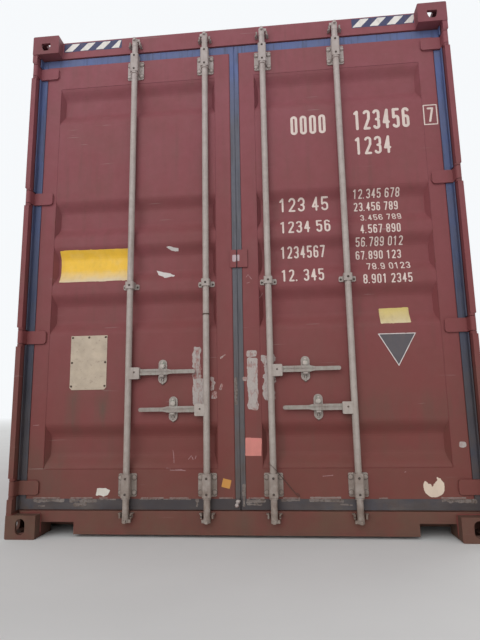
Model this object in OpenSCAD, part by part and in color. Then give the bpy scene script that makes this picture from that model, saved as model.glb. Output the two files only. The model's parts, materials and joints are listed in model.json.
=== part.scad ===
// Forty-foot high-cube shipping container with double doors at one end.
// Millimetres. The doors face -Y, the length runs along Y and Z is up.
// The origin is on the ground under the middle of the container.

/* [Container] */
// Overall length over the corner fittings
length = 12192; // [6000:1:14000]
// Overall width over the corner fittings
width = 2438; // [2200:1:2600]
// Overall height over the corner fittings
height = 2896; // [2500:1:3000]
// How far side rails and walls stand inside the fittings' faces
side_inset = 4; // [2:0.5:8]

/* [Corner fittings] */
// Length of a fitting along the container
fitting_l = 178; // [170:1:190]
// Width of a fitting across the container
fitting_w = 162; // [155:1:175]
// Height of a fitting
fitting_h = 118; // [110:1:130]
// Thickness of the plate with the twist-lock hole
fitting_plate = 28; // [20:1:32]
// Thickness of the other walls
fitting_wall = 16; // [10:1:20]
// Length of the twist-lock hole
lock_hole_l = 124.5; // [110:0.5:130]
// Width of the twist-lock hole
lock_hole_w = 63.5; // [55:0.5:70]
// Twist-lock hole centre from the container's side
lock_hole_x = 89.5; // [85:0.5:92]
// Twist-lock hole centre from the container's end
lock_hole_y = 103.5; // [95:0.5:106]
// Height of the holes in the side and end faces
face_hole_h = 79.5; // [65:0.5:84]
// Width of the hole in the side face
side_hole_w = 63.5; // [55:0.5:70]
// Width of the hole in the end face
end_hole_w = 51; // [40:0.5:60]
// Face hole centre above the twist-lock plate's outer face
face_hole_z = 62; // [58:0.5:66]
// Width of the shield-shaped holes in the faces of a top fitting
shield_w = 56; // [48:1:62]
// Height of the shield-shaped holes
shield_h = 48; // [40:1:56]
// Radius of the shields' curved sides
shield_r = 50; // [40:1:70]
// Top edge of the shields below the fitting's outer face
shield_drop = 48; // [40:1:52]
// Rounding of a fitting's outer edges
fitting_edge_r = 8; // [3:1:12]

/* [Door opening] */
// Width of a rear post's nose, seen from the doors
nose_w = 28; // [24:1:32]
// Jamb face from the container's side
jamb_u = 44; // [40:1:48]
// Depth of the rear posts, header and sill
frame_depth = 178; // [165:1:178]
// Front of the post noses behind the fittings' face
nose_v = 4; // [2:1:8]
// Front of the header and sill behind the fittings' face
beam_v = 58; // [56:1:62]
// Step behind the rubber lips, from the fittings' face
step_v = 78; // [77:1:84]
// Steel thickness of the posts' pressed plate
post_t = 6; // [4:0.5:8]
// Steel thickness of the jamb channel
jamb_t = 12; // [8:0.5:14]
// Steel thickness of the header and sill
beam_t = 5; // [3:0.5:6]
// Height of the header's front face
header_face_h = 113; // [105:1:116]
// Top of the header below the top of the fittings
header_drop = 5; // [4:1:10]
// Rounding of the header's upper front edge
header_edge_r = 10; // [6:1:16]
// Depth of the step under the header's front face
header_step = 20; // [16:1:24]
// Bottom of the sill above the ground
sill_z = 15; // [12.5:0.5:20]
// Top of the sill's front face above the ground
sill_lip_z = 131; // [127:1:134]
// Top of the sill behind the rubber lips
sill_top_z = 160; // [154:1:166]
// Rise of the sill towards the floor
sill_rise = 5; // [0:1:8]
// Width of the cut-out beside each bottom fitting
cutout_w = 180; // [120:1:220]
// Top of the cut-out above the ground
cutout_top_z = 75; // [60:1:90]

/* [Door leaves] */
// Edge of a leaf from the container's side
leaf_u = 70; // [64:1:74]
// Half of the gap between the leaves' steel edges
leaf_gap = 26; // [24:1:30]
// Outer face of the leaves behind the fittings' face
leaf_v = 65; // [64:0.5:66]
// Bottom of the leaves above the ground
leaf_z0 = 190; // [186:1:194]
// Top of the leaves below the top of the fittings
leaf_drop = 170; // [164:1:176]
// Thickness of a leaf
leaf_t = 50; // [45:1:54]
// Width of a leaf's outer and inner uprights
stile_w = 90; // [80:1:100]
// Height of a leaf's top and bottom rails
rail_w = 150; // [120:1:170]
// Wall of the leaf frame's tubes and channels
frame_t = 3.2; // [2:0.2:5]
// Rounding of the leaves' outer edges
leaf_edge_r = 8; // [5:0.5:12]
// Thickness of the door panel's sheet
panel_t = 2; // [1.6:0.1:3]
// Depth of the pressed bands
band_depth = 36; // [25:1:42]
// Height of a band's sloping edge
band_slope = 88; // [60:1:92]
// Height of a band's floor
band_floor = 70; // [50:1:74]
// Distance between the three middle bands
band_pitch = 278; // [270:1:290]
// Distance of the top and bottom bands from the middle one
band_far = 1000; // [900:1:1020]
// Width of a band's sloping ends
band_end = 22; // [16:1:40]

/* [Door seals] */
// Thickness of the lip and of the seal's foot
lip_t = 6; // [4:0.5:8]
// Clear space between the lips and the frame round the doors
lip_clear = 5; // [3:0.5:6]
// Thickness of the seal's foot on the leaf's edge
foot_t = 10; // [6:0.5:12]
// Width of the lips between the two leaves
meeting_lip = 22.5; // [15:0.5:22.5]
// Thickness of the rubber's turned-up edge beside a post
curl_t = 5; // [4:0.5:6]
// Front of the turned-up edge behind the fittings' face
curl_v = 39; // [38:1:50]
// Clear space above and below a hinge blade in the turned-up edge
curl_clear = 6; // [4:1:10]
// Gap between the leaf's face and the front of the rubber lips
lip_back = 1; // [0.5:0.5:2]
// How much shallower the rubber's foot is than the leaf
foot_short = 4; // [2:1:6]

/* [Hinges] */
// Hinge pin axis from the side and from the fittings' face
pin_uv = 17; // [16.5:0.5:19]
// Radius of the hinge pins
pin_r = 8.5; // [6:0.5:10]
// Running clearance of the pins
pin_clear = 1; // [0.5:0.1:1.5]
// Outer radius of the hinge barrels
barrel_r = 15; // [13:0.5:15]
// Height of a hinge blade
blade_h = 72; // [60:1:80]
// Thickness of a hinge blade
blade_t = 12; // [8:1:14]
// Length of a hinge blade over the leaf
blade_reach = 73; // [60:1:80]
// Rounding of a hinge blade's free corners
blade_corner = 15; // [8:1:24]
// Gap between a barrel and its lugs
barrel_gap = 3; // [2:0.5:5]
// Thickness of a hinge lug
lug_t = 14; // [10:1:18]
// Height of the lowest hinge's middle
hinge_z0 = 247; // [240:1:260]
// Height of the second hinge's middle
hinge_z1 = 1051; // [1000:1:1100]
// Height of the third hinge's middle
hinge_z2 = 1868; // [1800:1:1900]
// Distance of the top hinge's middle from the top of the fittings
hinge_drop = 219; // [215:1:240]

/* [Locking gear] */
// Radius of the lock rods
rod_r = 17; // [14:0.5:18]
// Lock rod axis behind the fittings' face
rod_v = 36; // [35:0.5:37]
// Distance of the outer lock rods from the middle
rod_outer_x = 593; // [560:1:620]
// Distance of the inner lock rods from the middle
rod_inner_x = 170; // [165:1:190]
// Running clearance round the rods
rod_clear = 0.6; // [0.4:0.1:1.5]
// Height of the upper handle
handle_high_z = 843; // [830:1:860]
// Height of the lower handle
handle_low_z = 645; // [630:1:660]
// Reach of a handle from the rod's axis
handle_reach = 364; // [330:1:368]
// Handle pivot from the rod's axis
pivot_x = 34; // [33:0.5:38]
// Depth of a handle's bar at the hub
handle_h = 32; // [26:1:34]
// Depth of a handle's grip
grip_h = 21; // [16:1:24]
// Height of the groove along a handle's front
groove_h = 7; // [4:1:9]
// Depth of the groove
groove_d = 3; // [2:0.5:4]
// Thickness of a handle's bar
handle_t = 10; // [8:0.5:12]
// Height of a handle hub
hub_h = 62; // [50:1:66]
// Reach of a hub from the rod's axis
hub_reach = 62; // [54:1:64]
// How far a hub hangs lower than its handle
hub_drop = 5; // [0:1:6]
// Start of a hub's cheeks from the rod's axis
hub_start = 6; // [2:1:10]
// Rounding of a hub's corners
hub_corner = 7; // [3:1:10]
// Thickness of a hub's cheek
cheek_t = 7; // [5:0.5:8]
// Distance of a retainer from the rod's axis
retainer_x = 182; // [170:1:200]
// Width of a retainer's plate
retainer_w = 46; // [40:1:48]
// Height of a retainer's plate
retainer_h = 128; // [110:1:136]
// Thickness of a retainer's plate
retainer_t = 6; // [4:0.5:8]
// Height of a retainer's middle above its handle's
retainer_rise = 3; // [0:1:6]
// Width of the rim round a retainer's lower end
rim_w = 5; // [3:0.5:6]
// Height of the rim over the retainer's plate
rim_t = 4; // [2:0.5:5]
// Width of the ledge that carries a handle
ledge_w = 24; // [16:1:30]
// Thickness of the ledge
ledge_t = 9; // [6:0.5:11]
// Clear space between a handle and its ledge
ledge_clear = 1.5; // [1:0.5:2]
// Width of a catch
catch_w = 26; // [20:1:30]
// Catch pivot above its handle's middle
catch_pivot_z = 50; // [46:1:54]
// Catch's end above its pivot
catch_top = 12; // [10:1:14]
// Radius of a catch's six-sided cap over its corners
cap_r = 13; // [9:0.5:14]
// Thickness of the cap
cap_t = 4; // [2:0.5:4]
// Width of a bracket's plate
bracket_w = 97; // [80:1:110]
// Height of the end brackets' plates
bracket_h = 116; // [100:1:120]
// Rounding of the end brackets' corners
bracket_corner = 8; // [4:1:12]
// Height of the upper brackets' housing over their plates
housing_rise = 32; // [24:1:36]
// Height of the plate left free under the upper brackets' housing
housing_gap = 30; // [24:1:36]
// Height of the middle brackets
clamp_h = 40; // [36:1:60]
// Width over the middle brackets' ears
clamp_w = 90; // [70:1:100]
// Height of the middle brackets' ears
ear_h = 30; // [22:1:36]
// How far the ears sit lower than the bracket's middle
ear_drop = 4; // [0:1:6]
// Thickness of the brackets' plates
bracket_t = 6; // [4:0.5:8]
// Width of the brackets' bearing
bearing_w = 46; // [42:1:50]
// Width of the bearing's flat front
bearing_face = 36; // [30:1:40]
// Steel in front of a rod in its bearing
bearing_front = 4; // [3:0.5:6]
// Radius of the collars on the rods
collar_r = 21.5; // [20:0.5:22]
// Height of a collar
collar_h = 8; // [5:1:12]
// Height of the middle brackets above the ground
clamp_z = 1322; // [1300:1:1340]
// Height of a cam
cam_h = 48; // [44:1:52]
// Height of a cam's noses
nose_h = 16; // [12:1:22]
// Thickness of a cam's noses
nose_t = 14; // [10:1:18]
// Reach of a cam's noses
cam_reach = 28; // [22:0.5:30]
// Clear space between a cam and its keepers
keeper_clear = 6; // [5:0.5:8]
// Thickness of a keeper
keeper_t = 10; // [8:1:14]
// Height of a keeper
keeper_h = 20; // [14:1:22]
// Lower cams' top below the sill's edge
cam_drop = 4; // [2:1:8]
// Upper cams' bottom above the header's edge
cam_lift = 20; // [10:1:24]
// Reach of the keepers in front of the header and sill
keeper_reach = 34; // [25:1:38]

/* [Walls and roof] */
// Height of a top side rail
top_rail = 60; // [50:1:70]
// Steel thickness of a top side rail
top_rail_t = 3; // [2:0.5:5]
// Height of a bottom side rail
low_rail_h = 162; // [150:1:165]
// Width of a bottom side rail's lower flange
low_flange = 48; // [40:1:60]
// Width of a bottom side rail's upper flange
low_lip = 42; // [40:1:50]
// Steel thickness of a bottom side rail
low_rail_t = 4.5; // [3:0.5:6]
// Side wall sheet thickness
wall_t = 2; // [1.6:0.1:3]
// Side wall wave depth
wave_depth = 36; // [25:1:40]
// Side wall wave's flat width
wave_flat = 72; // [60:1:80]
// Side wall wave's slope width
wave_slope = 67; // [50:1:75]
// Front wall wave depth
front_depth = 45; // [30:1:50]
// Front wall wave's flat width
front_flat = 105; // [90:1:120]
// Front wall wave's slope width
front_slope = 18; // [12:1:30]
// Roof sheet thickness
roof_t = 2; // [1.6:0.1:3]
// Height of the roof's ribs
rib_h = 20; // [12:1:22]
// Width of a rib's crown
rib_crown = 91; // [80:1:100]
// Width of a rib's slope
rib_slope = 14; // [10:1:20]
// Distance between ribs
rib_pitch = 209; // [205:1:230]
// Flat margin of the roof beside the ribs
rib_margin = 90; // [60:1:140]
// Size of the corner plates on the roof
corner_plate = 170; // [120:1:175]
// Thickness of the corner plates
corner_plate_t = 3; // [2:0.5:5]
// Margin of the roof sheet inside the side rails' faces
roof_edge = 20; // [10:1:30]
// Side walls' outer face inside the rails' faces
wall_inset = 2; // [1:0.5:4]
// Front wall's outer face inside the front sill's face
front_inset = 6; // [3:0.5:10]
// Width of a front post's inner return
front_return = 30; // [20:1:40]
// Width of a front post's return behind the side wall
side_return = 40; // [30:1:50]

/* [Floor and underframe] */
// Floor board thickness
board_t = 28; // [21:1:30]
// Height of the cross members
beam_h = 122; // [110:1:124]
// Width of a cross member's flanges
cross_w = 45; // [35:1:60]
// Steel thickness of a cross member
cross_t = 4; // [3:0.5:6]
// First cross member behind the door frame
cross_start = 60; // [40:1:90]
// First outrigger behind the tunnel's end
outrigger_start = 20; // [10:1:40]
// Distance between cross members
cross_pitch = 300; // [280:1:360]
// Length of the tunnel at the front end
tunnel_l = 3315; // [3000:1:3500]
// Width of the tunnel
tunnel_w = 1029; // [1000:1:1040]
// Height of the tunnel
tunnel_h = 120; // [110:1:124]
// Tunnel sheet thickness
tunnel_t = 4; // [3:0.5:5]
// Width of the steel strip between the floor boards
strip_w = 60; // [40:1:80]
// Number of board lengths along the floor
board_count = 5; // [3:1:8]
// Joint between floor boards
board_joint = 2; // [1:0.5:4]
// Gap between the floor boards and the walls
board_gap = 4; // [2:0.5:6]
// Steel thickness of the strip
strip_t = 4; // [3:0.5:5]

/* [Plates] */
// Width of the data plate
data_w = 206; // [180:1:220]
// Height of the data plate
data_h = 297; // [260:1:310]
// Clipped corners of the data plate
data_clip = 12; // [6:1:20]
// Thickness of the data plate
data_t = 2; // [1:0.5:3]
// Data plate's middle from the leaf's outer edge
data_edge = 321; // [300:1:340]
// Data plate's middle above the ground
data_z = 905; // [880:1:930]
// Height of the meeting plates' middle
meeting_z = 1458; // [1440:1:1480]
// Height of the meeting plates
meeting_h = 100; // [80:1:110]
// Outer reach of the meeting plates from the middle
meeting_x = 58; // [52:1:64]
// Thickness of the meeting plates
meeting_t = 10; // [8:1:12]
// Clear space between the two meeting plates
meeting_gap = 6; // [5:0.5:8]
// How much less the left meeting plate reaches outwards
meeting_less = 22; // [0:1:30]

/* [Hidden] */
$fn = 48;

// Overlap that lets a cutting shape pass a face
cut = 1;
half_l = length / 2;
half_w = width / 2;
paint = "#8c4a4a";
gear_grey = "#b0a89c";
rubber = "#2e3440";
plywood = "#a07850";
plate_beige = "#c8b898";

// Heights of the door end
post_z0 = fitting_h;
post_z1 = height - fitting_h;
header_z1 = height - header_drop;
header_z0 = header_z1 - header_face_h;
header_jamb_z = header_z0 - header_step;
lip_z0 = sill_lip_z + lip_clear;
lip_z1 = header_z0 - lip_clear;
lip_x0 = -half_w + nose_w + lip_clear;
leaf_z1 = height - leaf_drop;
leaf_mid_z = (leaf_z0 + leaf_z1) / 2;
hinge_zs = [hinge_z0, hinge_z1, hinge_z2, height - hinge_drop];
notch_h = blade_h + 2 * (barrel_gap + lug_t);

// How far a blade's neck clears its barrel
blade_gap = 2;

// Leaf seen from the left of the doors
leaf_x0 = -half_w + leaf_u;
leaf_x1 = -leaf_gap;

// Locking gear
// Far ends of the cams, below and above
low_cam_z = sill_lip_z - cam_drop - cam_h;
high_cam_z = header_z0 + cam_lift + cam_h;
cam_r = rod_r + 1;
bracket_edge = 12;
low_bracket_z = leaf_z0 + bracket_edge;
high_bracket_z = leaf_z1 - bracket_edge - bracket_h;
rod_xs = [-rod_outer_x, -rod_inner_x, rod_inner_x, rod_outer_x];
handle_zs = [handle_high_z, handle_low_z, handle_high_z, handle_low_z];
// Side to which each handle points from its rod
handle_sides = [1, -1, 1, -1];
bar_v0 = rod_v - handle_t / 2;
// Clear space of the sliding and turning parts of the gear
gear_clear = 2;
catch_t = 7;
catch_v = leaf_v - retainer_t - gear_clear - catch_t;
catch_pin_r = 5;
pivot_r = 6;
bar_r = 14;
collar_gap = 1.5;
// Bar of a handle outside its hub, and its taper beyond the retainer
bar_start = 4;
grip_start = 25;
grip_taper = 25;

// Walls, roof and floor
low_rail_z = 17;
low_rail_top = low_rail_z + low_rail_h;
// The cross members rest on the lower flanges of the side rails
cross_z = low_rail_z + low_rail_t;
top_rail_z1 = height - header_drop - rib_h;
top_rail_z0 = top_rail_z1 - top_rail;
wall_y0 = -half_l + frame_depth;
front_post_depth = fitting_l;
front_post_w = fitting_w - side_inset;
wall_y1 = half_l - front_post_depth;
board_z = cross_z + beam_h;
floor_z = board_z + board_t;
inner_x = half_w - side_inset - wall_inset - wave_depth - wall_t;

// Section along Y and Z, carried along X
module along_x(x0, x1) {
  translate([x0, 0, 0])
    rotate([90, 0, 90])
      linear_extrude(x1 - x0)
        children();
}

// Section along X and Z, carried along Y
module along_y(y0, y1) {
  translate([0, y1, 0])
    rotate([90, 0, 0])
      linear_extrude(y1 - y0)
        children();
}

// Left and right copies of what is built on the left
module both_sides() {
  children();
  mirror([1, 0, 0])
    children();
}

// Frame of the rear left corner: u inward from the side, v inward from the door end
module at_rear_left(z) {
  translate([-half_w, -half_l, z])
    children();
}

// Upright slot through a wall, centred on the origin and cut along X
module upright_slot(w, h, depth) {
  for (s = [-1, 1])
    translate([0, 0, s * (h - w) / 2])
      rotate([0, 90, 0])
        cylinder(d = w, h = depth);
  translate([0, -w / 2, -(h - w) / 2])
    cube([depth, w, h - w]);
}

// Hole with a flat edge towards the fitting's outer face and two curved sides, cut along Y
module shield_hole() {
  waist_z = shield_drop + shield_h / 4;
  intersection() {
    translate([-shield_w / 2, 0, shield_drop])
      cube([shield_w, fitting_wall + 2 * cut, shield_h]);
    translate([shield_r - shield_w / 2, 0, waist_z])
      rotate([-90, 0, 0])
        cylinder(r = shield_r, h = fitting_wall + 2 * cut);
    translate([shield_w / 2 - shield_r, 0, waist_z])
      rotate([-90, 0, 0])
        cylinder(r = shield_r, h = fitting_wall + 2 * cut);
  }
}

// Corner fitting with its outer corner at the origin and its lock hole below
module corner_fitting(shield) {
  r = fitting_edge_r;
  difference() {
    union() {
      for (x = [r, fitting_w - r])
        translate([x, 0, r])
          rotate([-90, 0, 0])
            cylinder(r = r, h = fitting_l);
      translate([r, 0, 0])
        cube([fitting_w - 2 * r, fitting_l, 2 * r]);
      translate([0, 0, r])
        cube([fitting_w, fitting_l, fitting_h - r]);
    }
    translate([fitting_wall, fitting_wall, fitting_plate])
      cube([fitting_w - 2 * fitting_wall, fitting_l - 2 * fitting_wall,
            fitting_h - fitting_plate - fitting_wall]);
    intersection() {
      translate([lock_hole_x, lock_hole_y, -cut])
        cylinder(d = lock_hole_l, h = fitting_plate + 2 * cut);
      translate([lock_hole_x - lock_hole_w / 2, lock_hole_y - lock_hole_l, -cut])
        cube([lock_hole_w, 2 * lock_hole_l, fitting_plate + 2 * cut]);
    }
    if (shield) {
      translate([-cut, fitting_l / 2, 0])
        rotate([0, 0, 90])
          mirror([0, 1, 0])
            shield_hole();
      translate([fitting_w / 2, -cut, 0])
        shield_hole();
    } else {
      translate([-cut, fitting_l / 2, face_hole_z])
        upright_slot(side_hole_w, face_hole_h, fitting_wall + 2 * cut);
      translate([fitting_w / 2, fitting_wall + cut, face_hole_z])
        rotate([0, 0, -90])
          upright_slot(end_hole_w, face_hole_h, fitting_wall + 2 * cut);
    }
  }
}

// Fittings at the four corners of one level
module four_fittings(shield) {
  for (end = [0, 1])
    mirror([0, end, 0])
      both_sides()
        translate([-half_w, -half_l, 0])
          corner_fitting(shield);
}

module bottom_corner_fittings() {
  color(paint)
    four_fittings(false);
}

module top_corner_fittings() {
  color(paint)
    translate([0, 0, height])
      mirror([0, 0, 1])
        four_fittings(true);
}

// Hollow section of a rear post in u and v
module rear_post_section() {
  polygon([
    [0, nose_v], [nose_w, nose_v], [nose_w, step_v], [jamb_u, step_v],
    [jamb_u, frame_depth], [0, frame_depth]
  ]);
}

module rear_post_hollow() {
  polygon([
    [post_t, nose_v + post_t], [nose_w - post_t, nose_v + post_t],
    [nose_w - post_t, step_v + jamb_t], [jamb_u - jamb_t, step_v + jamb_t],
    [jamb_u - jamb_t, frame_depth - jamb_t], [post_t, frame_depth - jamb_t]
  ]);
}

module rear_post() {
  difference() {
    at_rear_left(post_z0)
      difference() {
        linear_extrude(post_z1 - post_z0)
          rear_post_section();
        translate([0, 0, -cut])
          linear_extrude(post_z1 - post_z0 + 2 * cut)
            rear_post_hollow();
      }
    for (z = hinge_zs)
      at_rear_left(z - notch_h / 2)
        translate([-cut, -cut, 0])
          cube([nose_w + 2 * cut, step_v + cut, notch_h]);
  }
}

module left_rear_post() {
  color(paint)
    rear_post();
}

module right_rear_post() {
  color(paint)
    mirror([1, 0, 0])
      rear_post();
}

// Lugs above and below a barrel, with the pin through them
module hinge_lug_pair() {
  for (z = [-notch_h / 2, notch_h / 2 - lug_t])
    translate([0, 0, z]) {
      translate([pin_uv, pin_uv, 0])
        cylinder(r = barrel_r, h = lug_t);
      translate([pin_uv - barrel_r, pin_uv, 0])
        cube([nose_w - pin_uv + barrel_r, step_v - pin_uv, lug_t]);
    }
  translate([pin_uv, pin_uv, -notch_h / 2])
    cylinder(r = pin_r, h = notch_h);
}

module hinge_lugs() {
  color(paint)
    both_sides()
      for (z = hinge_zs)
        at_rear_left(z)
          hinge_lug_pair();
}

// Box section of the header's front part with its upper front edge rounded
module header_section() {
  translate([beam_v, header_z0])
    square([frame_depth - beam_v, header_face_h - header_edge_r]);
  translate([beam_v + header_edge_r, header_z0])
    square([frame_depth - beam_v - header_edge_r, header_face_h]);
  translate([beam_v + header_edge_r, header_z1 - header_edge_r])
    circle(r = header_edge_r);
}

module door_header() {
  color(paint)
    translate([0, -half_l, 0])
      difference() {
        union() {
          along_x(-half_w + fitting_w, half_w - fitting_w)
            header_section();
          along_x(-half_w + jamb_u, half_w - jamb_u)
            polygon([[step_v, header_jamb_z], [step_v, header_z0], [frame_depth, header_z0],
                     [frame_depth, header_jamb_z]]);
        }
        along_x(-half_w + fitting_w - cut, half_w - fitting_w + cut)
          polygon([
            [beam_v + beam_t, header_z0 + beam_t], [beam_v + beam_t, header_z1 - beam_t],
            [frame_depth - beam_t, header_z1 - beam_t],
            [frame_depth - beam_t, header_jamb_z + beam_t],
            [step_v + beam_t, header_jamb_z + beam_t], [step_v + beam_t, header_z0 + beam_t]
          ]);
      }
}

module door_sill() {
  back_z = sill_top_z + sill_rise;
  color(paint)
    translate([0, -half_l, 0])
      difference() {
        union() {
          along_x(-half_w + fitting_w, half_w - fitting_w)
            polygon([[beam_v, sill_z], [beam_v, sill_lip_z], [step_v, sill_lip_z],
                     [step_v, sill_top_z], [frame_depth, back_z], [frame_depth, sill_z]]);
          along_x(-half_w + jamb_u, half_w - jamb_u)
            polygon([[beam_v, fitting_h], [beam_v, sill_lip_z], [step_v, sill_lip_z],
                     [step_v, sill_top_z], [frame_depth, back_z], [frame_depth, fitting_h]]);
        }
        along_x(-half_w + fitting_w - cut, half_w - fitting_w + cut)
          polygon([
            [beam_v + beam_t, sill_z + beam_t], [beam_v + beam_t, sill_lip_z - beam_t],
            [step_v + beam_t, sill_lip_z - beam_t], [step_v + beam_t, sill_top_z - beam_t],
            [frame_depth - beam_t, back_z - beam_t], [frame_depth - beam_t, sill_z + beam_t]
          ]);
        both_sides()
          translate([-half_w + fitting_w - cut, beam_v - cut, sill_z - cut])
            cube([cutout_w + cut, frame_depth - beam_v + 2 * cut, cutout_top_z - sill_z + cut]);
      }
}

// Lower cam end in its place and upper one upside down above it
module at_cam_ends() {
  translate([0, 0, low_cam_z])
    children();
  translate([0, 0, high_cam_z])
    mirror([0, 0, 1])
      children();
}

// Keeper pair on the face of a beam, beside a cam and over its noses
module keeper_pair() {
  for (s = [-1, 1])
    translate([s * (cam_r + keeper_clear + keeper_t / 2), 0, nose_h + keeper_clear]) {
      translate([-keeper_t / 2, beam_v - keeper_reach + keeper_t / 2, 0])
        cube([keeper_t, keeper_reach - keeper_t / 2, keeper_h]);
      translate([0, beam_v - keeper_reach + keeper_t / 2, 0])
        cylinder(d = keeper_t, h = keeper_h);
    }
}

module cam_keepers() {
  color(paint)
    for (x = rod_xs)
      translate([x, -half_l, 0])
        at_cam_ends()
          keeper_pair();
}

// Pressed front post, open towards the inside
module front_post() {
  t = post_t;
  back = side_inset - front_post_depth;
  translate([-half_w + side_inset, half_l - side_inset, fitting_h])
    linear_extrude(height - 2 * fitting_h)
      polygon([
        [0, 0], [front_post_w, 0], [front_post_w, -front_return],
        [front_post_w - t, -front_return], [front_post_w - t, -t], [t, -t], [t, back + t],
        [side_return, back + t], [side_return, back], [0, back]
      ]);
}

module front_corner_posts() {
  color(paint)
    both_sides()
      front_post();
}

module top_side_rail() {
  x0 = -half_w + side_inset;
  difference() {
    translate([x0, -half_l + fitting_l, top_rail_z0])
      cube([top_rail, length - 2 * fitting_l, top_rail]);
    translate([x0 + top_rail_t, -half_l + fitting_l - cut, top_rail_z0 + top_rail_t])
      cube([top_rail - 2 * top_rail_t, length - 2 * fitting_l + 2 * cut,
            top_rail - 2 * top_rail_t]);
  }
}

module top_side_rails() {
  color(paint)
    both_sides()
      top_side_rail();
}

module bottom_side_rail() {
  translate([-half_w + side_inset, 0, 0])
    along_y(-half_l + fitting_l, half_l - fitting_l)
      polygon([
        [0, low_rail_z], [low_flange, low_rail_z], [low_flange, low_rail_z + low_rail_t],
        [low_rail_t, low_rail_z + low_rail_t], [low_rail_t, low_rail_top - low_rail_t],
        [low_lip, low_rail_top - low_rail_t], [low_lip, low_rail_top], [0, low_rail_top]
      ]);
}

module bottom_side_rails() {
  color(paint)
    both_sides()
      bottom_side_rail();
}

// Points of a trapezoid wave from a to b, cells centred, depth inward
function wave(a, b, flat, slope, depth) =
  let (pitch = 2 * (flat + slope))
  let (n = floor((b - a - flat) / pitch))
  let (start = (a + b - n * pitch - flat) / 2)
  concat(
    [[a, 0]],
    [for (i = [0 : n - 1])
      each [
        [start + i * pitch + flat, 0],
        [start + i * pitch + flat + slope, depth],
        [start + i * pitch + 2 * flat + slope, depth],
        [start + (i + 1) * pitch, 0]
      ]],
    [[b, 0]]
  );

// The wave and its copy one sheet further in, as one outline
function sheet_outline(points, t) =
  concat(points, [for (i = [len(points) - 1 : -1 : 0]) points[i] + [0, t]]);

module side_wall() {
  points = wave(wall_y0, wall_y1, wave_flat, wave_slope, wave_depth);
  translate([-half_w + side_inset + wall_inset, 0, low_rail_top])
    linear_extrude(top_rail_z0 - low_rail_top)
      mirror([1, -1, 0])
        polygon(sheet_outline(points, wall_t));
}

module left_side_wall() {
  color(paint)
    side_wall();
}

module right_side_wall() {
  color(paint)
    mirror([1, 0, 0])
      side_wall();
}

module front_wall() {
  edge = half_w - side_inset - front_post_w;
  points = wave(-edge, edge, front_flat, front_slope, front_depth);
  color(paint)
    translate([0, half_l - side_inset - front_inset, low_rail_top])
      linear_extrude(top_rail_z0 - low_rail_top)
        mirror([0, 1, 0])
          polygon(sheet_outline(points, wall_t));
}

module front_header() {
  color(paint)
    difference() {
      translate([-half_w + fitting_w, half_l - side_inset - top_rail, top_rail_z0])
        cube([width - 2 * fitting_w, top_rail, top_rail]);
      translate([-half_w + fitting_w - cut, half_l - side_inset - top_rail + top_rail_t,
                 top_rail_z0 + top_rail_t])
        cube([width - 2 * fitting_w + 2 * cut, top_rail - 2 * top_rail_t,
              top_rail - 2 * top_rail_t]);
    }
}

module front_sill() {
  color(paint)
    translate([0, half_l - side_inset, 0])
      difference() {
        along_x(-half_w + fitting_w, half_w - fitting_w)
          polygon([
            [0, low_rail_z], [0, low_rail_top], [-low_flange, low_rail_top],
            [-low_flange, low_rail_top - low_rail_t], [-low_rail_t, low_rail_top - low_rail_t],
            [-low_rail_t, low_rail_z + low_rail_t], [-low_flange, low_rail_z + low_rail_t],
            [-low_flange, low_rail_z]
          ]);
        translate([-tunnel_w / 2 - tunnel_t, -low_flange - cut, 0])
          cube([tunnel_w + 2 * tunnel_t, low_flange + 2 * cut, tunnel_h + tunnel_t]);
      }
}

rib_n = floor((wall_y1 - wall_y0 - 2 * corner_plate - rib_crown - 2 * rib_slope) / rib_pitch) + 1;
rib_y0 = -((rib_n - 1) * rib_pitch + rib_crown + 2 * rib_slope) / 2 + (wall_y0 + wall_y1) / 2;

// Ribs of the roof as one body, its flats at height d and its base at height base
module rib_body(d, base) {
  rib_x = half_w - side_inset - top_rail - rib_margin;
  rib_end = rib_y0 + (rib_n - 1) * rib_pitch + rib_crown + 2 * rib_slope;
  intersection() {
    along_x(-rib_x, rib_x)
      polygon(concat(
        [[rib_y0 - rib_slope, base], [rib_y0 - rib_slope, d]],
        [for (i = [0 : rib_n - 1])
          each [
            [rib_y0 + i * rib_pitch, d],
            [rib_y0 + i * rib_pitch + rib_slope, d + rib_h],
            [rib_y0 + i * rib_pitch + rib_slope + rib_crown, d + rib_h],
            [rib_y0 + i * rib_pitch + 2 * rib_slope + rib_crown, d]
          ]],
        [[rib_end + rib_slope, d], [rib_end + rib_slope, base]]
      ));
    along_y(rib_y0 - 2 * rib_slope, rib_end + 2 * rib_slope)
      polygon([[-rib_x, base], [-rib_x, d], [-rib_x + 2 * rib_h, d + rib_h],
               [rib_x - 2 * rib_h, d + rib_h], [rib_x, d], [rib_x, base]]);
  }
}

module roof_sheet() {
  edge = half_w - side_inset - roof_edge;
  front_y = half_l - side_inset - roof_edge;
  color(paint)
    translate([0, 0, top_rail_z1])
      difference() {
        union() {
          translate([-edge, wall_y0, 0])
            cube([2 * edge, front_y - wall_y0, roof_t]);
          rib_body(roof_t, 0);
        }
        rib_body(0, -cut);
        for (s = [-1, 1])
          translate([s * half_w, half_l, 0])
            cube([2 * (fitting_w + cut), 2 * (fitting_l + cut), 3 * rib_h], center = true);
      }
}

module roof_corner_plates() {
  color(paint)
    for (end = [-1, 1])
      both_sides()
        translate([-half_w + side_inset + roof_edge,
                   end < 0 ? wall_y0 : half_l - fitting_l - cut - corner_plate,
                   top_rail_z1 + roof_t])
          cube([2 * corner_plate, corner_plate, corner_plate_t]);
}

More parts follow.
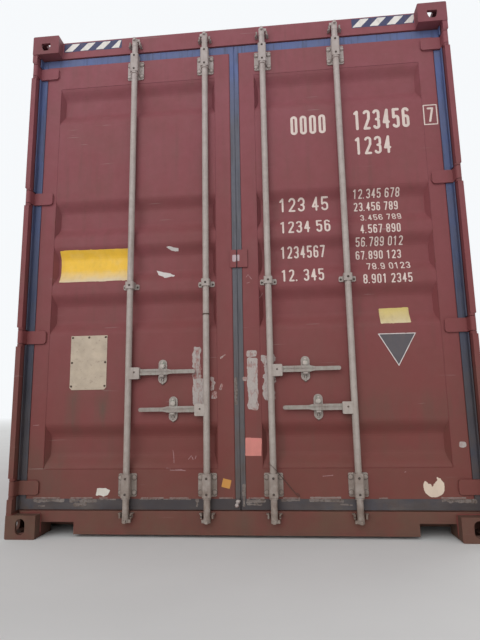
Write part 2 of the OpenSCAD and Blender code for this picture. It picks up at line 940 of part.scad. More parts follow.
// Channel section of a cross member, opening towards +Y
module cross_channel(x0, x1, y) {
  translate([0, y, cross_z])
    along_x(x0, x1)
      polygon([
        [0, 0], [cross_w, 0], [cross_w, cross_t], [cross_t, cross_t],
        [cross_t, beam_h - cross_t], [cross_w, beam_h - cross_t], [cross_w, beam_h],
        [0, beam_h]
      ]);
}

tunnel_y0 = half_l - tunnel_l;
cross_x = half_w - side_inset - low_rail_t;
cross_y0 = wall_y0 + cross_start;
cross_n = floor((tunnel_y0 - cross_y0 - cross_w - outrigger_start) / cross_pitch) + 1;
outrigger_n = floor((tunnel_l - fitting_l - outrigger_start - cross_start) / cross_pitch) + 1;

module cross_members() {
  color(paint) {
    for (i = [0 : cross_n - 1])
      cross_channel(-cross_x, cross_x, cross_y0 + i * cross_pitch);
    for (i = [0 : outrigger_n - 1])
      both_sides()
        cross_channel(-cross_x, -tunnel_w / 2 - tunnel_t,
                      tunnel_y0 + outrigger_start + i * cross_pitch);
  }
}

module gooseneck_tunnel() {
  x1 = tunnel_w / 2 + tunnel_t;
  x0 = tunnel_w / 2;
  y1 = half_l - side_inset;
  color(paint) {
    along_y(tunnel_y0, y1)
      polygon([
        [-x1, cross_z], [-x1, tunnel_h + tunnel_t], [x1, tunnel_h + tunnel_t], [x1, cross_z],
        [x0, cross_z], [x0, tunnel_h], [-x0, tunnel_h], [-x0, cross_z]
      ]);
    for (i = [0 : outrigger_n - 1])
      translate([-x1, tunnel_y0 + outrigger_start + i * cross_pitch, tunnel_h])
        cube([2 * x1, cross_w, board_z - tunnel_h]);
  }
}

floor_y0 = wall_y0 + board_joint;
floor_y1 = half_l - side_inset - front_inset - front_depth - wall_t - board_gap;

module floor_boards() {
  pitch = (floor_y1 - floor_y0) / board_count;
  color(plywood)
    both_sides()
      for (i = [0 : board_count - 1])
        translate([-inner_x + board_gap, floor_y0 + i * pitch + board_joint / 2, board_z])
          cube([inner_x - board_gap - strip_w / 2 - board_joint, pitch - board_joint, board_t]);
}

module floor_strip() {
  outer = strip_w / 2;
  inner = strip_w / 2 - strip_t;
  color(gear_grey)
    along_y(floor_y0, floor_y1)
      polygon([
        [-outer, board_z], [-outer, floor_z], [outer, floor_z], [outer, board_z],
        [inner, board_z], [inner, floor_z - strip_t], [-inner, floor_z - strip_t],
        [-inner, board_z]
      ]);
}

// Rectangle from the corner at p, which is rounded
module soft_corner(p, w, d, r) {
  translate([p + r, p + r])
    circle(r = r);
  translate([p + r, p])
    square([w - r, d]);
  translate([p, p + r])
    square([w, d - r]);
}

// Tube along Z, whose outer front edge is rounded
module upright_tube() {
  t = frame_t;
  linear_extrude(leaf_z1 - leaf_z0)
    difference() {
      soft_corner(0, stile_w, leaf_t, leaf_edge_r);
      soft_corner(t, stile_w - 2 * t, leaf_t - 2 * t, leaf_edge_r - t);
    }
}

// Channel along X, open towards the inside
module level_channel(z0) {
  translate([0, leaf_v, z0])
    along_x(leaf_x0 + stile_w - frame_t / 2, leaf_x1 - stile_w + frame_t / 2)
      polygon([[0, 0], [0, rail_w], [leaf_t, rail_w], [leaf_t, rail_w - frame_t],
               [frame_t, rail_w - frame_t], [frame_t, frame_t], [leaf_t, frame_t],
               [leaf_t, 0]]);
}

module door_frame() {
  translate([0, -half_l, 0]) {
    translate([leaf_x0, leaf_v, leaf_z0])
      upright_tube();
    translate([leaf_x1, leaf_v, leaf_z0])
      mirror([1, 0, 0])
        upright_tube();
    level_channel(leaf_z0);
    level_channel(leaf_z1 - rail_w);
  }
}

module left_door_frame() {
  color(paint)
    door_frame();
}

module right_door_frame() {
  color(paint)
    mirror([1, 0, 0])
      door_frame();
}

band_zs = [
  leaf_mid_z - band_far, leaf_mid_z - band_pitch, leaf_mid_z, leaf_mid_z + band_pitch,
  leaf_mid_z + band_far
];
band_h = 2 * band_slope + band_floor;
// Steps of a band's slope, which runs as half a cosine wave
band_steps = 8;

function slope_depth(i) = band_depth * (1 - cos(180 * i / band_steps)) / 2;

// Points of one band about the height z, from its lower to its upper edge
function band_points(z, d) =
  concat(
    [for (i = [0 : band_steps])
      [d + slope_depth(i), z - band_h / 2 + band_slope * i / band_steps]],
    [for (i = [band_steps : -1 : 0])
      [d + slope_depth(i), z + band_h / 2 - band_slope * i / band_steps]]
  );

// Pressed bands as one body, its flats at depth d and its open side at depth base
module band_body(d, base) {
  x0 = leaf_x0 + stile_w;
  x1 = leaf_x1 - stile_w;
  intersection() {
    along_x(x0, x1)
      polygon(concat(
        [[base, band_zs[0] - band_h], [d, band_zs[0] - band_h]],
        [for (z = band_zs) each band_points(z, d)],
        [[d, band_zs[4] + band_h], [base, band_zs[4] + band_h]]
      ));
    translate([0, 0, leaf_z0 + rail_w])
      linear_extrude(leaf_z1 - leaf_z0 - 2 * rail_w)
        polygon([[x0, base], [x0, d], [x0 + band_end, d + band_depth],
                 [x1 - band_end, d + band_depth], [x1, d], [x1, base]]);
  }
}

module door_panel() {
  translate([0, -half_l + leaf_v, 0])
    difference() {
      union() {
        translate([leaf_x0 + stile_w, 0, leaf_z0 + rail_w])
          cube([leaf_x1 - leaf_x0 - 2 * stile_w, panel_t, leaf_z1 - leaf_z0 - 2 * rail_w]);
        band_body(panel_t, 0);
      }
      band_body(0, -cut);
    }
}

module left_door_panel() {
  color(paint)
    door_panel();
}

module right_door_panel() {
  color(paint)
    mirror([1, 0, 0])
      door_panel();
}

// Rubber lip and foot round a leaf, with a turned-up edge beside the post
module door_seal() {
  lip_x1 = -leaf_gap + meeting_lip;
  translate([0, -half_l + leaf_v + lip_back, 0])
    difference() {
      union() {
        translate([lip_x0, 0, lip_z0])
          cube([lip_x1 - lip_x0, lip_t, lip_z1 - lip_z0]);
        translate([leaf_x0 - foot_t, 0, leaf_z0 - foot_t])
          cube([leaf_x1 - leaf_x0 + 2 * foot_t, leaf_t - foot_short,
                leaf_z1 - leaf_z0 + 2 * foot_t]);
        translate([lip_x0, curl_v - leaf_v - lip_back, lip_z0])
          cube([curl_t, leaf_v + lip_back - curl_v + lip_t, lip_z1 - lip_z0]);
      }
      translate([leaf_x0, -cut, leaf_z0])
        cube([leaf_x1 - leaf_x0, leaf_t + 2 * cut, leaf_z1 - leaf_z0]);
      for (z = hinge_zs)
        translate([lip_x0 - cut, curl_v - leaf_v - lip_back - cut, z - blade_h / 2 - curl_clear])
          cube([curl_t + 2 * cut, leaf_v + lip_back - curl_v + cut, blade_h + 2 * curl_clear]);
    }
}

module left_door_seal() {
  color(rubber)
    door_seal();
}

module right_door_seal() {
  color(rubber)
    mirror([1, 0, 0])
      door_seal();
}

// Plate in X and Z with rounded corners, its front at the origin
module rounded_plate(w, h, t, r) {
  for (x = [r - w / 2, w / 2 - r], z = [r - h / 2, h / 2 - r])
    translate([x, 0, z])
      rotate([-90, 0, 0])
        cylinder(r = r, h = t);
  translate([-w / 2, 0, r - h / 2])
    cube([w, t, h - 2 * r]);
  translate([r - w / 2, 0, -h / 2])
    cube([w - 2 * r, t, h]);
}

// Blade with its neck and barrel, in u and v
module hinge_blade() {
  blade_v0 = leaf_v - blade_t;
  blade_u0 = pin_uv + barrel_r + blade_gap;
  blade_u1 = leaf_u + blade_reach;
  difference() {
    union() {
      translate([pin_uv, pin_uv, 0])
        cylinder(r = barrel_r, h = blade_h, center = true);
      translate([0, 0, -blade_h / 2])
        linear_extrude(blade_h)
          polygon([
            [pin_uv - barrel_r, pin_uv], [pin_uv + barrel_r, pin_uv], [blade_u0, blade_v0],
            [blade_u0 + blade_corner, blade_v0], [blade_u0 + blade_corner, leaf_v],
            [pin_uv - blade_gap, leaf_v]
          ]);
      translate([(blade_u0 + blade_u1) / 2, blade_v0, 0])
        rounded_plate(blade_u1 - blade_u0, blade_h, blade_t, blade_corner);
    }
    translate([pin_uv, pin_uv, -blade_h / 2 - cut])
      cylinder(r = pin_r + pin_clear, h = blade_h + 2 * cut);
  }
}

module hinge_blades() {
  for (z = hinge_zs)
    at_rear_left(z)
      hinge_blade();
}

module left_hinge_blades() {
  color(paint)
    hinge_blades();
}

module right_hinge_blades() {
  color(paint)
    mirror([1, 0, 0])
      hinge_blades();
}

// Section of the flat-faced bearing round a rod
module bearing_section() {
  front = rod_v - rod_r - bearing_front;
  shoulder = front + (bearing_w - bearing_face) / 2;
  back = leaf_v - bracket_t / 2;
  difference() {
    polygon([
      [-bearing_w / 2, back], [-bearing_w / 2, shoulder], [-bearing_face / 2, front],
      [bearing_face / 2, front], [bearing_w / 2, shoulder], [bearing_w / 2, back]
    ]);
    translate([0, rod_v])
      circle(r = rod_r + rod_clear);
  }
}

// Bracket whose bearing runs from z0 to z1 over the plate's lower edge
module end_bracket(z0, z1) {
  translate([0, leaf_v - bracket_t, bracket_h / 2])
    rounded_plate(bracket_w, bracket_h, bracket_t, bracket_corner);
  translate([0, 0, z0])
    linear_extrude(z1 - z0)
      bearing_section();
}

module clamp_bracket() {
  translate([0, leaf_v - bracket_t, -ear_drop])
    rounded_plate(clamp_w, ear_h, bracket_t, ear_h / 4);
  translate([0, 0, -clamp_h / 2])
    linear_extrude(clamp_h)
      bearing_section();
}

module rod_brackets(xs) {
  for (x = xs)
    translate([x, -half_l, 0]) {
      translate([0, 0, low_bracket_z])
        end_bracket(0, bracket_h);
      translate([0, 0, clamp_z])
        clamp_bracket();
      translate([0, 0, high_bracket_z])
        end_bracket(housing_gap, bracket_h + housing_rise);
    }
}

module left_rod_brackets() {
  color(gear_grey)
    rod_brackets([rod_xs[0], rod_xs[1]]);
}

module right_rod_brackets() {
  color(gear_grey)
    rod_brackets([rod_xs[2], rod_xs[3]]);
}

// Plate with round ends in X and Z, its back on a face at v
module round_plate(w, h, v, t) {
  for (s = [-1, 1])
    translate([0, v, s * (h - w) / 2])
      rotate([-90, 0, 0])
        cylinder(d = w, h = t);
  translate([-w / 2, v, -(h - w) / 2])
    cube([w, t, h - w]);
}

module handle_retainer() {
  ledge_top = -handle_h / 2 - ledge_clear;
  plate_v = leaf_v - retainer_t;
  lobe_z = retainer_rise - (retainer_h - retainer_w) / 2;
  translate([0, 0, retainer_rise])
    round_plate(retainer_w, retainer_h, plate_v, retainer_t);
  translate([-ledge_w / 2, bar_v0 - gear_clear, ledge_top - ledge_t])
    cube([ledge_w, plate_v - bar_v0 + gear_clear + retainer_t / 2, ledge_t]);
  difference() {
    translate([0, plate_v - rim_t, lobe_z])
      rotate([-90, 0, 0])
        cylinder(d = retainer_w, h = rim_t + retainer_t / 2);
    translate([0, plate_v - rim_t - cut, lobe_z])
      rotate([-90, 0, 0])
        cylinder(d = retainer_w - 2 * rim_w, h = rim_t + cut);
  }
  translate([-rim_w / 2, plate_v - rim_t, lobe_z - retainer_w / 3])
    cube([rim_w, rim_t + retainer_t / 2, retainer_w / 2]);
  translate([0, catch_v - gear_clear, catch_pivot_z])
    rotate([-90, 0, 0])
      cylinder(r = catch_pin_r, h = plate_v - catch_v + gear_clear + retainer_t / 2);
}

module handle_retainers(ids) {
  for (i = ids)
    translate([rod_xs[i] + handle_sides[i] * retainer_x, -half_l, handle_zs[i]])
      handle_retainer();
}

module left_handle_retainers() {
  color(gear_grey)
    handle_retainers([0, 1]);
}

module right_handle_retainers() {
  color(gear_grey)
    handle_retainers([2, 3]);
}

module handle_catch(i) {
  bottom = handle_h / 2 + lip_clear;
  top = catch_pivot_z + catch_top;
  color(gear_grey)
    translate([rod_xs[i] + handle_sides[i] * retainer_x, -half_l, handle_zs[i]])
      difference() {
        union() {
          translate([0, 0, (bottom + top) / 2])
            round_plate(catch_w, top - bottom, catch_v, catch_t);
          translate([0, catch_v - cap_t, bottom + catch_w / 2])
            rotate([-90, 0, 0])
              cylinder(r = cap_r, h = cap_t + catch_t / 2, $fn = 6);
        }
        translate([0, catch_v - cap_t - cut, catch_pivot_z])
          rotate([-90, 0, 0])
            cylinder(r = catch_pin_r + rod_clear, h = catch_t + cap_t + 2 * cut);
      }
}

// Cam with a nose towards the handle and one to the front at its far end
module cam(side) {
  cylinder(r = cam_r, h = cam_h);
  translate([side > 0 ? 0 : -cam_reach, -nose_t / 2, 0])
    cube([cam_reach, nose_t, nose_h]);
  translate([-nose_t / 2, -cam_reach, 0])
    cube([nose_t, cam_reach, nose_h]);
}

module lock_rod(i) {
  side = handle_sides[i];
  low_collar_z = low_bracket_z - collar_gap - collar_h;
  high_collar_z = high_bracket_z + housing_gap - collar_gap - collar_h;
  color(gear_grey)
    translate([rod_xs[i], -half_l + rod_v, 0]) {
      translate([0, 0, low_cam_z])
        cylinder(r = rod_r, h = high_cam_z - low_cam_z);
      at_cam_ends()
        cam(side);
      for (z = [low_collar_z, high_collar_z])
        translate([0, 0, z])
          cylinder(r = collar_r, h = collar_h);
      translate([0, 0, handle_zs[i]])
        mirror([side > 0 ? 0 : 1, 0, 0])
          handle_hub();
    }
}

// Two cheeks beside a handle's bar with its pivot, seen from the rod's axis
module handle_hub() {
  width = hub_reach - hub_start;
  for (v = [-handle_t / 2 - gear_clear - cheek_t, handle_t / 2 + gear_clear])
    translate([hub_start + width / 2, v, -hub_drop])
      rounded_plate(width, hub_h, cheek_t, hub_corner);
  translate([pivot_x, -handle_t / 2 - gear_clear - cheek_t, 0])
    rotate([-90, 0, 0])
      cylinder(r = pivot_r, h = handle_t + 2 * gear_clear + 2 * cheek_t);
}

module handle(i) {
  side = handle_sides[i];
  hub_end = hub_reach + bar_start;
  taper = retainer_x + grip_start;
  grip = taper + grip_taper;
  tip = handle_reach - grip_h / 2;
  color(gear_grey)
    translate([rod_xs[i], -half_l + bar_v0, handle_zs[i]])
      mirror([side > 0 ? 0 : 1, 0, 0])
        difference() {
          union() {
            translate([pivot_x, 0, 0])
              rotate([-90, 0, 0])
                cylinder(r = bar_r, h = handle_t);
            translate([tip, 0, 0])
              rotate([-90, 0, 0])
                cylinder(d = grip_h, h = handle_t);
            translate([0, handle_t, 0])
              rotate([90, 0, 0])
                linear_extrude(handle_t)
                  polygon([
                    [pivot_x, -bar_r], [hub_end, -handle_h / 2], [taper, -handle_h / 2],
                    [grip, -grip_h / 2], [tip, -grip_h / 2], [tip, grip_h / 2],
                    [grip, grip_h / 2], [taper, handle_h / 2], [hub_end, handle_h / 2],
                    [pivot_x, bar_r]
                  ]);
          }
          translate([pivot_x, -cut, 0])
            rotate([-90, 0, 0])
              cylinder(r = pivot_r + rod_clear, h = handle_t + 2 * cut);
          translate([hub_end, -cut, -groove_h / 2])
            cube([grip - hub_end, groove_d + cut, groove_h]);
        }
}

// Raised plate beside the meeting edge of the left leaf
module left_meeting_plate() {
  x0 = meeting_less - meeting_x;
  color(paint)
    translate([x0, -half_l + leaf_v - meeting_t, meeting_z - meeting_h / 2])
      cube([-meeting_gap / 2 - x0, meeting_t, meeting_h]);
}

module right_meeting_plate() {
  color(paint)
    translate([meeting_gap / 2, -half_l + leaf_v - meeting_t, meeting_z - meeting_h / 2])
      cube([meeting_x - meeting_gap / 2, meeting_t, meeting_h]);
}

module data_plate() {
  x = data_w / 2;
  z = data_h / 2;
  c = data_clip;
  color(plate_beige)
    translate([leaf_x0 + data_edge, -half_l + leaf_v, data_z])
      rotate([90, 0, 0])
        linear_extrude(data_t)
          polygon([[c - x, -z], [x - c, -z], [x, c - z], [x, z], [-x, z], [-x, c - z]]);
}

top_corner_fittings();
bottom_corner_fittings();
left_rear_post();
right_rear_post();
front_corner_posts();
door_header();
door_sill();
cam_keepers();
hinge_lugs();
top_side_rails();
bottom_side_rails();
left_side_wall();
right_side_wall();
front_wall();
front_header();
front_sill();
roof_sheet();
roof_corner_plates();
cross_members();
gooseneck_tunnel();
floor_boards();
floor_strip();
left_door_frame();
left_door_panel();
left_door_seal();
left_hinge_blades();
left_rod_brackets();
left_handle_retainers();
left_meeting_plate();
data_plate();
right_door_frame();
right_door_panel();
right_door_seal();
right_hinge_blades();
right_rod_brackets();
right_handle_retainers();
right_meeting_plate();
lock_rod(0);  // lock_rod_1
lock_rod(1);  // lock_rod_2
lock_rod(2);  // lock_rod_3
lock_rod(3);  // lock_rod_4
handle(0);  // handle_1
handle(1);  // handle_2
handle(2);  // handle_3
handle(3);  // handle_4
handle_catch(0);  // handle_catch_1
handle_catch(1);  // handle_catch_2
handle_catch(2);  // handle_catch_3
handle_catch(3);  // handle_catch_4
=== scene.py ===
"""Looks of a forty-foot shipping container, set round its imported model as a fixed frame.

Metres throughout. The doors face -Y, the length runs along Y, Z is up, and the ground is at 0.
"""
import json
import math

import bpy
import numpy as np
from bpy.props import FloatProperty, FloatVectorProperty, PointerProperty
from mathutils import Matrix, Vector


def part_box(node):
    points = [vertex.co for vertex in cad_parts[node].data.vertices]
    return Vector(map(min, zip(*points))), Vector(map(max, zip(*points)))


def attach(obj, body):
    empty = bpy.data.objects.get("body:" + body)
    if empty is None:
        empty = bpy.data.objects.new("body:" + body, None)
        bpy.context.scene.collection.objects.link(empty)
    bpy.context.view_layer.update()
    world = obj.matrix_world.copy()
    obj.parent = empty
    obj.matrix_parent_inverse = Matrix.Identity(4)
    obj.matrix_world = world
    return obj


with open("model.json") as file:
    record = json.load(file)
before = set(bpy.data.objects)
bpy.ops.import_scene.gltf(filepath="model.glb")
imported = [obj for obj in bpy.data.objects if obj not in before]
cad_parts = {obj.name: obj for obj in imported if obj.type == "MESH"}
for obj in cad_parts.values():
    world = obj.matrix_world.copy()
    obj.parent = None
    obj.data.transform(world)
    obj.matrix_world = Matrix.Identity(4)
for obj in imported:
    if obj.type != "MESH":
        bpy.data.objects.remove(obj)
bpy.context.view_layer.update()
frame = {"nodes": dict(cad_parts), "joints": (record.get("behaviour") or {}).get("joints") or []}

bl_info = {
    "name": "Container Dressing",
    "version": (1, 0, 0),
    "blender": (4, 5, 0),
    "location": "View3D > Sidebar > Container",
    "description": "Dresses a shipping container with paint, marks, fasteners, seams and wear",
    "category": "Object",
}

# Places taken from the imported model
LEAF_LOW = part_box("left_door_frame")[0]
PANEL_LOW, PANEL_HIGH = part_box("left_door_panel")
HEADER_LOW, HEADER_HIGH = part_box("door_header")
SILL_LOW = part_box("door_sill")[0]
SEAL_LOW, SEAL_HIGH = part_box("left_door_seal")
PLATE_LOW, PLATE_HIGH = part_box("data_plate")
MEETING_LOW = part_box("right_meeting_plate")[0]
BRACKET_LOW, BRACKET_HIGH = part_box("left_rod_brackets")
KEEPER_LOW, KEEPER_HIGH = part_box("cam_keepers")
CATCH_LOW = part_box("handle_catch_1")[0]
HINGE_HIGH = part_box("left_hinge_blades")[1]
POST_LOW, POST_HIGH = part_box("left_rear_post")
FITTING_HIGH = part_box("bottom_corner_fittings")[1]
WALL_LOW, WALL_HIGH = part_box("left_side_wall")
BOARD_LOW, BOARD_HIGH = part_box("floor_boards")
JOINTS = {joint["name"]: joint["pos_m"] for joint in frame["joints"]}
NUMBERS = (1, 2, 3, 4)
ROD_X = [JOINTS[f"rod_{n}_turn"][0] for n in NUMBERS]
ROD_Y = JOINTS["rod_1_turn"][1]
HANDLE_Z = [JOINTS[f"handle_{n}_lift"][2] for n in NUMBERS]
RETAINER_X = [JOINTS[f"catch_{n}_swing"][0] for n in NUMBERS]
HANDLE_SIDE = [1 if x > rod else -1 for x, rod in zip(RETAINER_X, ROD_X)]
# Each leaf's body, side and places in the lists above
LEAVES = (("left_door", -1, (0, 1)), ("right_door", 1, (2, 3)))

# The pressed bands of a leaf's panel: floor, slope, steps of the slope, ramp at the ends, middles
SHEET = 0.002
BAND_FLOOR = 0.070
BAND_SLOPE = 0.088
BAND_STEPS = 8
BAND_END = 0.022
BAND_DEPTH = PANEL_HIGH.y - PANEL_LOW.y - SHEET
BAND_MID = (PANEL_LOW.z + PANEL_HIGH.z) / 2
BAND_ZS = [BAND_MID + d for d in (-1.000, -0.278, 0.0, 0.278, 1.000)]

# Flat fronts that marks and fasteners lie on
FACE_Y = LEAF_LOW.y
LIP_Y = FACE_Y + 0.001
PLATE_FRONT_Y = FACE_Y - 0.006
BEAM_Y = HEADER_LOW.y
KEEPER_BACK_Y = BEAM_Y + 0.0005
HUB_Y = -6.074

# Brackets, catches, keepers, hinges and fittings
BRACKET_H = 0.116
HOUSING_RISE = 0.032
BRACKET_ZS = (BRACKET_LOW.z, BRACKET_HIGH.z - HOUSING_RISE - BRACKET_H)
CLAMP_Z = 1.322
CATCH_PIVOT = 0.050
CATCH_NUT = 0.030
KEEPER_OFF = 0.029
KEEPER_H = 0.020
HUB_PIVOT = 0.034
HINGE_ZS = (0.247, 1.051, 1.868, 2.677)
BLADE_H = 0.072
BLADE_TIP_X = 1.142
FITTING_INNER_X = FITTING_HIGH.x - 0.162
TOP_FITTING_Z = 2.778
POST_EDGE_X = 1.214
POST_STEP_X = 1.173
POST_NOSE_X = abs(POST_HIGH.x) + 0.016

GEAR_SLOT = "galvanised_gear"
PAINT_SLOT = "brick_red_paint"
RUBBER_SLOT = "door_rubber"


def colour(name, description, *default):
    return FloatVectorProperty(name=name, description=description, subtype="COLOR", size=3,
                               default=default, min=0.0, max=1.0)


def length(name, description, default, low, high):
    return FloatProperty(name=name, description=description, unit="LENGTH", default=default, min=low,
                         max=high)


def strength(name, description, default, high):
    return FloatProperty(name=name, description=description, default=default, min=0.0, max=high)


def angle(name, description, degrees):
    return FloatProperty(name=name, description=description, subtype="ANGLE",
                         default=math.radians(degrees))


class ContainerColours(bpy.types.PropertyGroup):
    """Colours of the container's finishes"""
    paint: colour("Paint", "Body paint near the ground", 0.172, 0.045, 0.038)
    # Lighter, bluer paint near the roof: painted sky light on the body paint
    sky_lit: colour("Faded paint", "Body paint bleached near the roof", 0.272, 0.086, 0.108)
    dirt: colour("Dirt", "Road dirt and dust", 0.095, 0.062, 0.046)
    rust: colour("Rust", "Rust on bare steel", 0.14, 0.052, 0.022)
    gear: colour("Locking gear", "Grey finish of rods and handles", 0.34, 0.295, 0.262)
    rubber: colour("Rubber", "Door seals", 0.040, 0.044, 0.062)
    plywood: colour("Plywood", "Floor boards", 0.30, 0.17, 0.085)
    plate: colour("Data plate", "Bleached metal plate", 0.43, 0.345, 0.258)
    white: colour("Marking white", "Painted numbers and bars", 0.66, 0.55, 0.50)
    yellow: colour("Sign yellow", "Height sign and stickers", 0.80, 0.485, 0.048)
    glue: colour("Glue", "Grey remains of torn stickers", 0.385, 0.335, 0.315)
    navy: colour("Bar ground", "Dark ground of the header's bars", 0.050, 0.055, 0.125)


class ContainerStage(bpy.types.PropertyGroup):
    """Floor, lamps and camera"""
    floor_size: length("Floor", "Length of the floor's side", 160.0, 20.0, 400.0)
    key_strength: strength("Key lamp", "Strength of the lamp above the doors", 1.5, 10.0)
    fill_strength: strength("Fill lamp", "Strength of the lamp behind", 0.7, 10.0)
    sky_strength: strength("Sky", "Strength of the even light all round", 0.62, 4.0)
    lens: FloatProperty(name="Lens", description="Focal length in millimetres", default=27.604,
                        min=10.0, max=200.0)
    camera_place: FloatVectorProperty(name="Camera", description="Place of the camera", size=3,
                                      subtype="TRANSLATION", unit="LENGTH",
                                      default=(0.2538, -8.6387, 0.6733))
    camera_yaw: angle("Yaw", "Camera turned towards the left", 5.311)
    camera_pitch: angle("Pitch", "Camera tilted upwards", 9.569)
    camera_roll: angle("Roll", "Camera turned about its view", -0.972)


class ContainerSizes(bpy.types.PropertyGroup):
    """Sizes of the small pieces"""
    mark_lift: length("Mark lift", "Front of a sticker or mark above its face", 0.0006, 0.0003, 0.002)
    bolt_r: length("Bolt head", "Radius of a bolt's head over its corners", 0.0098, 0.004, 0.02)
    bolt_h: length("Bolt height", "Height of a bolt's head", 0.0064, 0.003, 0.02)
    rivet_r: length("Rivet head", "Radius of a rivet's head", 0.0062, 0.002, 0.02)
    rivet_h: length("Rivet height", "Height of a rivet's head", 0.0034, 0.001, 0.01)
    weld_r: length("Weld", "Half width of a weld bead", 0.0042, 0.001, 0.01)


def colours():
    return bpy.context.scene.container_colours


def sizes():
    return bpy.context.scene.container_sizes


# Shader nodes

class Nodes:
    """Node tree whose methods add nodes and return their output sockets."""

    def __init__(self, tree):
        self.tree = tree

    def plug(self, socket, value):
        if isinstance(value, bpy.types.NodeSocket):
            self.tree.links.new(value, socket)
        elif socket.type == "RGBA":
            socket.default_value = (*value, 1.0)
        else:
            socket.default_value = value

    def add(self, kind, output, sockets, **settings):
        """New node with its settings and sockets filled in: one of its outputs, or the node for None."""
        node = self.tree.nodes.new("ShaderNode" + kind)
        for key, value in settings.items():
            setattr(node, key, value)
        for key, value in sockets.items():
            self.plug(node.inputs[key], value)
        return node if output is None else node.outputs[output]

    def sum(self, operation, first, second=0.0):
        return self.add("Math", 0, {0: first, 1: second}, operation=operation)


class Finish(Nodes):
    """One material: a shade that gets coats one over the other, then roughness and bumps."""

    def __init__(self, name, specular):
        self.material = bpy.data.materials.new(name)
        self.material.use_nodes = True
        super().__init__(self.material.node_tree)
        self.shader = self.tree.nodes["Principled BSDF"]
        self.plug(self.shader.inputs["Specular IOR Level"], specular)
        self.coords = self.add("TexCoord", "Object", {})
        self.z = self.axis("Z")

    def axis(self, letter):
        """One of the coordinates X, Y or Z."""
        return self.add("SeparateXYZ", letter, {0: self.coords})

    def stretched(self, stretch):
        """Object coordinates divided by the stretch along each axis."""
        return self.add("Mapping", "Vector", {"Vector": self.coords, "Scale": [1.0 / s for s in stretch]})

    def noise(self, size, detail=3.0, rough=0.5, stretch=(1, 1, 1), twist=0.0):
        """Cloudy pattern whose patches measure about the given size in metres."""
        return self.add("TexNoise", "Fac", {"Vector": self.stretched(stretch), "Scale": 1.0 / size,
                                            "Detail": detail, "Roughness": rough, "Distortion": twist})

    def cells(self, size, stretch):
        """Distance to the nearest of scattered points about the given size apart."""
        return self.add("TexVoronoi", "Distance", {"Vector": self.stretched(stretch), "Scale": 1.0 / size})

    def spread(self, value, low, high, top=1.0):
        """0 where the value is at low, top where it is at high, straight between and held beyond."""
        return self.add("MapRange", "Result", {"Value": value, "From Min": low, "From Max": high,
                                               "To Max": top})

    def cloud(self, size, low, high, top=1.0, detail=4.0, rough=0.6, stretch=(1, 1, 1), twist=0.0):
        """Noise spread between low and high."""
        return self.spread(self.noise(size, detail, rough, stretch, twist), low, high, top)

    def times(self, *values):
        product = values[0]
        for value in values[1:]:
            product = self.sum("MULTIPLY", product, value)
        return product

    def blend(self, factor, first, second):
        """First colour where the factor is 0, second where it is 1."""
        return self.add("Mix", 2, {"Factor": factor, 6: first, 7: second}, data_type="RGBA")

    def coat(self, paint, *masks):
        """Covers the shade with a colour where the product of the masks is 1."""
        self.shade = self.blend(self.times(*masks), self.shade, paint)

    def smear(self, x, z, half_w, half_h):
        """1 inside an upright box of x and z, falling to 0 over a soft distance outside it."""
        soft = 0.035
        across, along = (self.sum("ABSOLUTE", self.sum("SUBTRACT", place, middle))
                         for place, middle in ((self.axis("X"), x), (self.z, z)))
        return self.times(self.spread(across, half_w + soft, half_w - soft / 2),
                          self.spread(along, half_h + soft * 2, half_h - soft))

    def done(self, gloss, least, *layers):
        """Links the shade, the roughness as gloss added to its least value, and a row of bumps, one for
        each (height socket, depth in metres), and returns the material."""
        self.plug(self.shader.inputs["Base Color"], self.shade)
        self.plug(self.shader.inputs["Roughness"], self.sum("ADD", gloss, least))
        under = {}
        for height, depth in layers:
            under = {"Normal": self.add("Bump", "Normal", {"Distance": depth, "Height": height, **under})}
        self.plug(self.shader.inputs["Normal"], under["Normal"])
        return self.material


def tone(paint, factor):
    return tuple(c * factor for c in paint)


